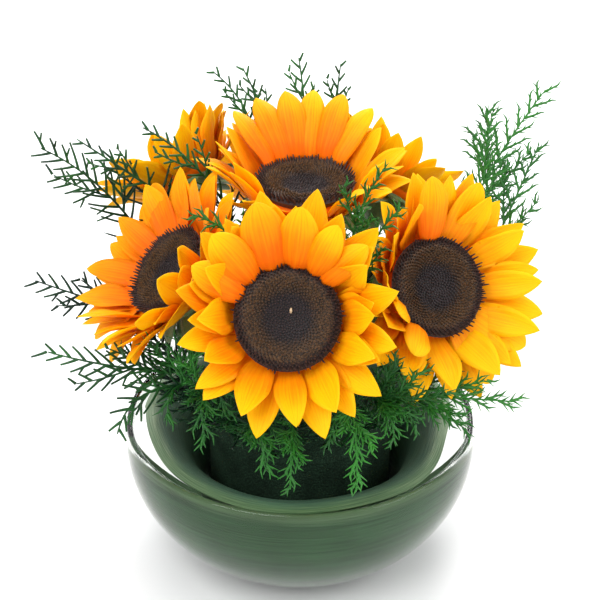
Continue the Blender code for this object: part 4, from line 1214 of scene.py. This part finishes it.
def spray_chains(base, bend, tip, reach, roll, looks, style, tone, seed):
    """A spray's twig, two lesser twigs, their branchlets and the filler below them, as chains of points."""
    rng = random.Random(seed)
    foot = foot_of(base)
    hidden = foot + (np.asarray(base) - foot) * np.linspace(0, 1, 60)[:, None]
    fine = curve(base, bend, tip, 120)
    turn = math.radians(roll)
    sides = carried_sides(np.diff(fine, axis=0))
    normals = np.cross(sides, np.diff(fine, axis=0))
    normals /= np.linalg.norm(normals, axis=1, keepdims=True)
    sides = sides * math.cos(turn) + normals * math.sin(turn)
    needle = style[1]
    # The hidden stretch of twig gets a darker tone: painted shade under the blooms
    chains = [chain(hidden[::6], (0.00098, 0.00085), (0.0, 0.0), (1.0, 0.0, 0.0), tone * 0.5),
              chain(fine[::6], (0.00085, 0.00040), (needle, needle * 0.7), sides[::6][:20], tone)]
    chains += branchlets(fine, sides, (0.04, 0.965), reach, style, looks, rng, tone)
    length = np.linalg.norm(np.asarray(tip) - np.asarray(base))
    for hand, at in ((1, 24), (-1, 42)):
        along = unit(fine[at + 1] - fine[at])
        way = unit(along + sides[at] * hand * 0.55 + normals[at] * rng.uniform(-0.15, 0.35))
        twig = curve(fine[at], fine[at] + way * length * 0.22,
                     fine[at] + way * length * 0.34 + along * length * 0.12, 60)
        chains.append(chain(twig[::6], (0.00065, 0.00036), (needle, needle * 0.7), sides[at], tone))
        twig_sides = carried_sides(np.diff(twig, axis=0))
        chains += branchlets(twig, twig_sides, (0.15, 0.96), reach * 0.62, style, looks, rng, tone)
    # The filler gets a darker tone still: painted shade under the blooms
    chains += filler(hidden, looks, rng, tone * 0.35)
    return chains


def tuft_chains(base, bend, tip, reach, tone, style, looks, seed):
    """A short extra twig with its branchlets."""
    rng = random.Random(seed)
    fine = curve(base, bend, tip, 60)
    sides = carried_sides(np.diff(fine, axis=0))
    needle = STYLES[style][1]
    twig = chain(fine[::6], (0.00080, 0.00040), (needle, needle * 0.7), sides[::6][:10], tone)
    return [twig, *branchlets(fine, sides, (0.04, 0.96), reach, STYLES[style], looks, rng, tone)]


def needle_tree():
    """Geometry nodes that thicken a spray's chains into twigs and stand needles along them, left and right."""
    tree = bpy.data.node_groups.new("needles on twigs", "GeometryNodeTree")
    tree.interface.new_socket("Geometry", in_out="INPUT", socket_type="NodeSocketGeometry")
    for label, kind in (("Spacing", "Float"), ("Width", "Float"), ("Seed", "Int"), ("Finish", "Material")):
        tree.interface.new_socket(label, in_out="INPUT", socket_type=f"NodeSocket{kind}")
    tree.interface.new_socket("Geometry", in_out="OUTPUT", socket_type="NodeSocketGeometry")
    nodes = Nodes(tree)
    start = nodes.add("NodeGroupInput").outputs

    def named(name, kind="FLOAT"):
        return nodes.add("GeometryNodeInputNamedAttribute", {"Name": name}, data_type=kind).outputs[0]

    lines = nodes.add("GeometryNodeMeshToCurve", {0: start["Geometry"]}).outputs[0]
    sized = nodes.add("GeometryNodeSetCurveRadius", {"Curve": lines, "Radius": named("thick")}).outputs[0]
    ring = nodes.add("GeometryNodeCurvePrimitiveCircle", {"Resolution": 5, "Radius": 1.0}, mode="RADIUS").outputs[0]
    profile = {"Curve": sized, "Profile Curve": ring, "Fill Caps": True}
    twigs = nodes.add("GeometryNodeCurveToMesh", profile)
    if "Scale" in twigs.inputs:
        nodes.tree.links.new(named("thick"), twigs.inputs["Scale"])
    finer = nodes.add("GeometryNodeResampleCurve", {"Curve": lines, "Length": start["Spacing"]}, mode="LENGTH")
    tangent = nodes.add("GeometryNodeInputTangent").outputs[0]
    index = nodes.add("GeometryNodeInputIndex").outputs[0]
    hand = nodes.maths("SUBTRACT", nodes.maths("MULTIPLY", nodes.maths("MODULO", index, 2.0), 2.0), 1.0)
    spread = nodes.maths("MULTIPLY", hand, 0.58)
    three = nodes.add("ShaderNodeCombineXYZ", {0: spread, 1: spread, 2: spread}).outputs[0]
    aside = nodes.vector("MULTIPLY", named("side", "FLOAT_VECTOR"), three)
    stray = nodes.add("FunctionNodeRandomValue", {"Min": (-0.13,) * 3, "Max": (0.13,) * 3, "ID": index,
                                                  "Seed": start["Seed"]}, data_type="FLOAT_VECTOR").outputs[0]
    way = nodes.vector("ADD", nodes.vector("ADD", tangent, aside), stray)
    turned = nodes.add("FunctionNodeAlignRotationToVector", {"Vector": way}, axis="Z").outputs[0]
    wobble = nodes.add("FunctionNodeRandomValue", {"Min": 0.75, "Max": 1.15, "ID": index, "Seed": start["Seed"]},
                       data_type="FLOAT").outputs[1]
    size = nodes.add("ShaderNodeCombineXYZ", {0: start["Width"], 1: start["Width"],
                                              2: nodes.maths("MULTIPLY", named("needle"), wobble)}).outputs[0]
    cone = nodes.add("GeometryNodeMeshCone", {"Vertices": 4, "Side Segments": 1, "Radius Top": 0.25,
                                              "Radius Bottom": 1.0, "Depth": 1.0}, fill_type="NGON").outputs[0]
    rise = nodes.add("ShaderNodeSeparateXYZ", {0: nodes.add("GeometryNodeInputPosition").outputs[0]}).outputs[2]
    needle = nodes.add("GeometryNodeStoreNamedAttribute", {0: cone, "Name": "along", "Value": rise},
                       data_type="FLOAT", domain="POINT").outputs[0]
    real_ones = nodes.add("FunctionNodeCompare", {0: named("needle"), 1: 0.0008}, data_type="FLOAT",
                          operation="GREATER_THAN").outputs[0]
    stood = nodes.add("GeometryNodeInstanceOnPoints", {0: finer.outputs[0], "Selection": real_ones,
                                                       "Instance": needle, "Rotation": turned,
                                                       "Scale": size}).outputs[0]
    both = nodes.add("GeometryNodeJoinGeometry")
    tree.links.new(twigs.outputs[0], both.inputs[0])
    tree.links.new(stood, both.inputs[0])
    real = nodes.add("GeometryNodeRealizeInstances", {0: both.outputs[0]}).outputs[0]
    dressed = nodes.add("GeometryNodeSetMaterial", {0: real, "Material": start["Finish"]}).outputs[0]
    nodes.add("NodeGroupOutput", {0: dressed})
    return tree


def build_sprays(looks):
    """The fine sprays of greenery, each twig grown with branchlets, forks and needles."""
    material = needle_finish(looks)
    tree = needle_tree()
    for order, (name, base, bend, tip, reach, roll, tone, style) in enumerate(SPRAYS):
        chains = spray_chains(base, bend, tip, reach, roll, looks, STYLES[style], tone, SEED + 100 + order)
        for turn, (_, *tuft) in enumerate(row for row in TUFTS if row[0] == name):
            chains += tuft_chains(base, *tuft, looks, SEED + 300 + 10 * order + turn)
        points, thick, needle, sides, tones = (np.concatenate(part) for part in zip(*chains))
        mesh = bpy.data.meshes.new(f"{name}_greenery")
        edges, start = [], 0
        for some, *_ in chains:
            edges += [(start + step, start + step + 1) for step in range(len(some) - 1)]
            start += len(some)
        mesh.from_pydata(points.tolist(), edges, [])
        spray = bpy.data.objects.new(f"{name}_greenery", mesh)
        bpy.context.scene.collection.objects.link(spray)
        for key, values in (("thick", thick), ("needle", needle), ("tone", tones)):
            number_each_point(spray, key, values)
        mesh.attributes.new("side", "FLOAT_VECTOR", "POINT").data.foreach_set("vector", sides.ravel())
        leafy = style == "leafy"
        grown(spray, tree, Spacing=0.0021 if leafy else 0.0026,
              Width=looks.needle_width * (1.15 if leafy else 1.0), Seed=SEED + order, Finish=material)
        spray.data.shade_smooth()
        seat(spray, "needles", f"{name}_spray")


def build_stage(looks):
    """A pale floor that sweeps up into a backdrop, plain soft light and the camera."""
    across = np.linspace(-3.0, 3.0, 3)
    sweep = [(-3.0, 0.0), (1.2, 0.0)]
    sweep += [(1.2 + 0.9 * math.sin(turn), 0.9 - 0.9 * math.cos(turn)) for turn in np.linspace(0.1, math.pi / 2, 14)]
    sweep.append((2.1, 3.5))
    points = [(x, y, z - 0.0002) for y, z in sweep for x in across]
    faces = []
    for row in range(len(sweep) - 1):
        for column in range(2):
            a = row * 3 + column
            faces.append((a, a + 1, a + 4, a + 3))
    floor = piece_of("pale_floor", points, faces, floor_finish(looks))
    floor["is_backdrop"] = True
    lamps = (
        ("key light", (-0.55, -0.75, 1.15), 0.9, looks.key_power),
        ("fill light", (0.95, -0.45, 0.75), 0.8, looks.key_power * 0.45),
        ("back light", (0.25, 0.95, 1.05), 0.7, looks.key_power * 0.5),
        ("backdrop light", (0.0, 1.10, 1.70), 1.6, looks.key_power * 2.0),
    )
    for name, place, side, power in lamps:
        lamp = bpy.data.lights.new(name, "AREA")
        lamp.size = side
        lamp.energy = power
        holder = bpy.data.objects.new(name, lamp)
        holder.location = place
        target = Vector((0.0, 1.9, 0.2) if name == "backdrop light" else (0.0, 0.0, 0.14))
        holder.rotation_euler = (target - Vector(place)).to_track_quat("-Z", "Y").to_euler()
        bpy.context.scene.collection.objects.link(holder)
    world = bpy.data.worlds.new("soft studio")
    world.use_nodes = True
    world.node_tree.nodes["Background"].inputs["Color"].default_value = (1.0, 1.0, 1.0, 1.0)
    world.node_tree.nodes["Background"].inputs["Strength"].default_value = looks.world_strength
    bpy.context.scene.world = world
    lens = bpy.data.cameras.new("photo view")
    lens.lens = looks.lens
    lens.sensor_width = 36.0
    lens.clip_start = 0.01
    camera = bpy.data.objects.new("photo view", lens)
    camera.location = (0.0, -0.564, 0.451)
    camera.rotation_euler = (math.pi / 2 - looks.pitch, 0.0, 0.0)
    bpy.context.scene.collection.objects.link(camera)
    bpy.context.scene.camera = camera
    bpy.context.scene.view_settings.view_transform = "Standard"


class SUNFLOWER_OT_stage(bpy.types.Operator):
    """Add the floor, backdrop, lights and camera"""
    bl_idname = "sunflower.stage"
    bl_label = "Stage"

    def execute(self, context):
        build_stage(context.scene.sunflower_stage)
        return {"FINISHED"}


class SUNFLOWER_OT_bowl(bpy.types.Operator):
    """Add the glass bowl"""
    bl_idname = "sunflower.bowl"
    bl_label = "Glass Bowl"

    def execute(self, context):
        build_bowl(context.scene.sunflower_bowl)
        return {"FINISHED"}


class SUNFLOWER_OT_leaves(bpy.types.Operator):
    """Add the two leaves that line the bowl"""
    bl_idname = "sunflower.leaves"
    bl_label = "Lining Leaves"

    def execute(self, context):
        build_leaves(context.scene.sunflower_bowl, context.scene.sunflower_leaf)
        return {"FINISHED"}


class SUNFLOWER_OT_foam(bpy.types.Operator):
    """Finish the wet foam that holds the stems"""
    bl_idname = "sunflower.foam"
    bl_label = "Floral Foam"

    def execute(self, context):
        build_foam()
        return {"FINISHED"}


class SUNFLOWER_OT_petals(bpy.types.Operator):
    """Add the ray petals of every bloom"""
    bl_idname = "sunflower.petals"
    bl_label = "Petals"

    def execute(self, context):
        build_petals(context.scene.sunflower_petal)
        return {"FINISHED"}


class SUNFLOWER_OT_discs(bpy.types.Operator):
    """Add the seed head of every bloom"""
    bl_idname = "sunflower.discs"
    bl_label = "Seed Heads"

    def execute(self, context):
        build_discs(context.scene.sunflower_disc)
        return {"FINISHED"}


class SUNFLOWER_OT_stems(bpy.types.Operator):
    """Add the stem and bracts of every bloom"""
    bl_idname = "sunflower.stems"
    bl_label = "Stems and Bracts"

    def execute(self, context):
        build_stems(context.scene.sunflower_stem)
        return {"FINISHED"}


class SUNFLOWER_OT_sprays(bpy.types.Operator):
    """Add the fine sprays of greenery"""
    bl_idname = "sunflower.sprays"
    bl_label = "Greenery"

    def execute(self, context):
        build_sprays(context.scene.sunflower_spray)
        return {"FINISHED"}


class SUNFLOWER_PT_sidebar(bpy.types.Panel):
    """Lists the steps and their settings"""
    bl_idname = "SUNFLOWER_PT_sidebar"
    bl_label = "Sunflower Bowl"
    bl_space_type = "VIEW_3D"
    bl_region_type = "UI"
    bl_category = "Sunflower Bowl"

    def draw(self, context):
        for operator in OPERATORS:
            self.layout.operator(operator.bl_idname)
        for name in SETTINGS:
            box = self.layout.box()
            settings = getattr(context.scene, name)
            for key in settings.__annotations__:
                box.prop(settings, key)


OPERATORS = (
    SUNFLOWER_OT_stage,
    SUNFLOWER_OT_bowl,
    SUNFLOWER_OT_leaves,
    SUNFLOWER_OT_foam,
    SUNFLOWER_OT_petals,
    SUNFLOWER_OT_discs,
    SUNFLOWER_OT_stems,
    SUNFLOWER_OT_sprays,
)
SETTINGS = {
    "sunflower_stage": StageSettings,
    "sunflower_bowl": BowlSettings,
    "sunflower_leaf": LeafSettings,
    "sunflower_petal": PetalSettings,
    "sunflower_disc": DiscSettings,
    "sunflower_stem": StemSettings,
    "sunflower_spray": SpraySettings,
}


def register():
    for kind in (*SETTINGS.values(), *OPERATORS, SUNFLOWER_PT_sidebar):
        bpy.utils.register_class(kind)
    for name, kind in SETTINGS.items():
        setattr(bpy.types.Scene, name, bpy.props.PointerProperty(type=kind))


def unregister():
    for name in SETTINGS:
        delattr(bpy.types.Scene, name)
    for kind in reversed((*SETTINGS.values(), *OPERATORS, SUNFLOWER_PT_sidebar)):
        bpy.utils.unregister_class(kind)


def main():
    register()
    for operator in OPERATORS:
        getattr(bpy.ops.sunflower, operator.bl_idname.split(".")[1])()
    boxes = {"cad": CAD_BOX, "visual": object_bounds()}
    {name: [list(corner) for corner in box] for name, box in boxes.items()}


if __name__ == "__main__":
    main()
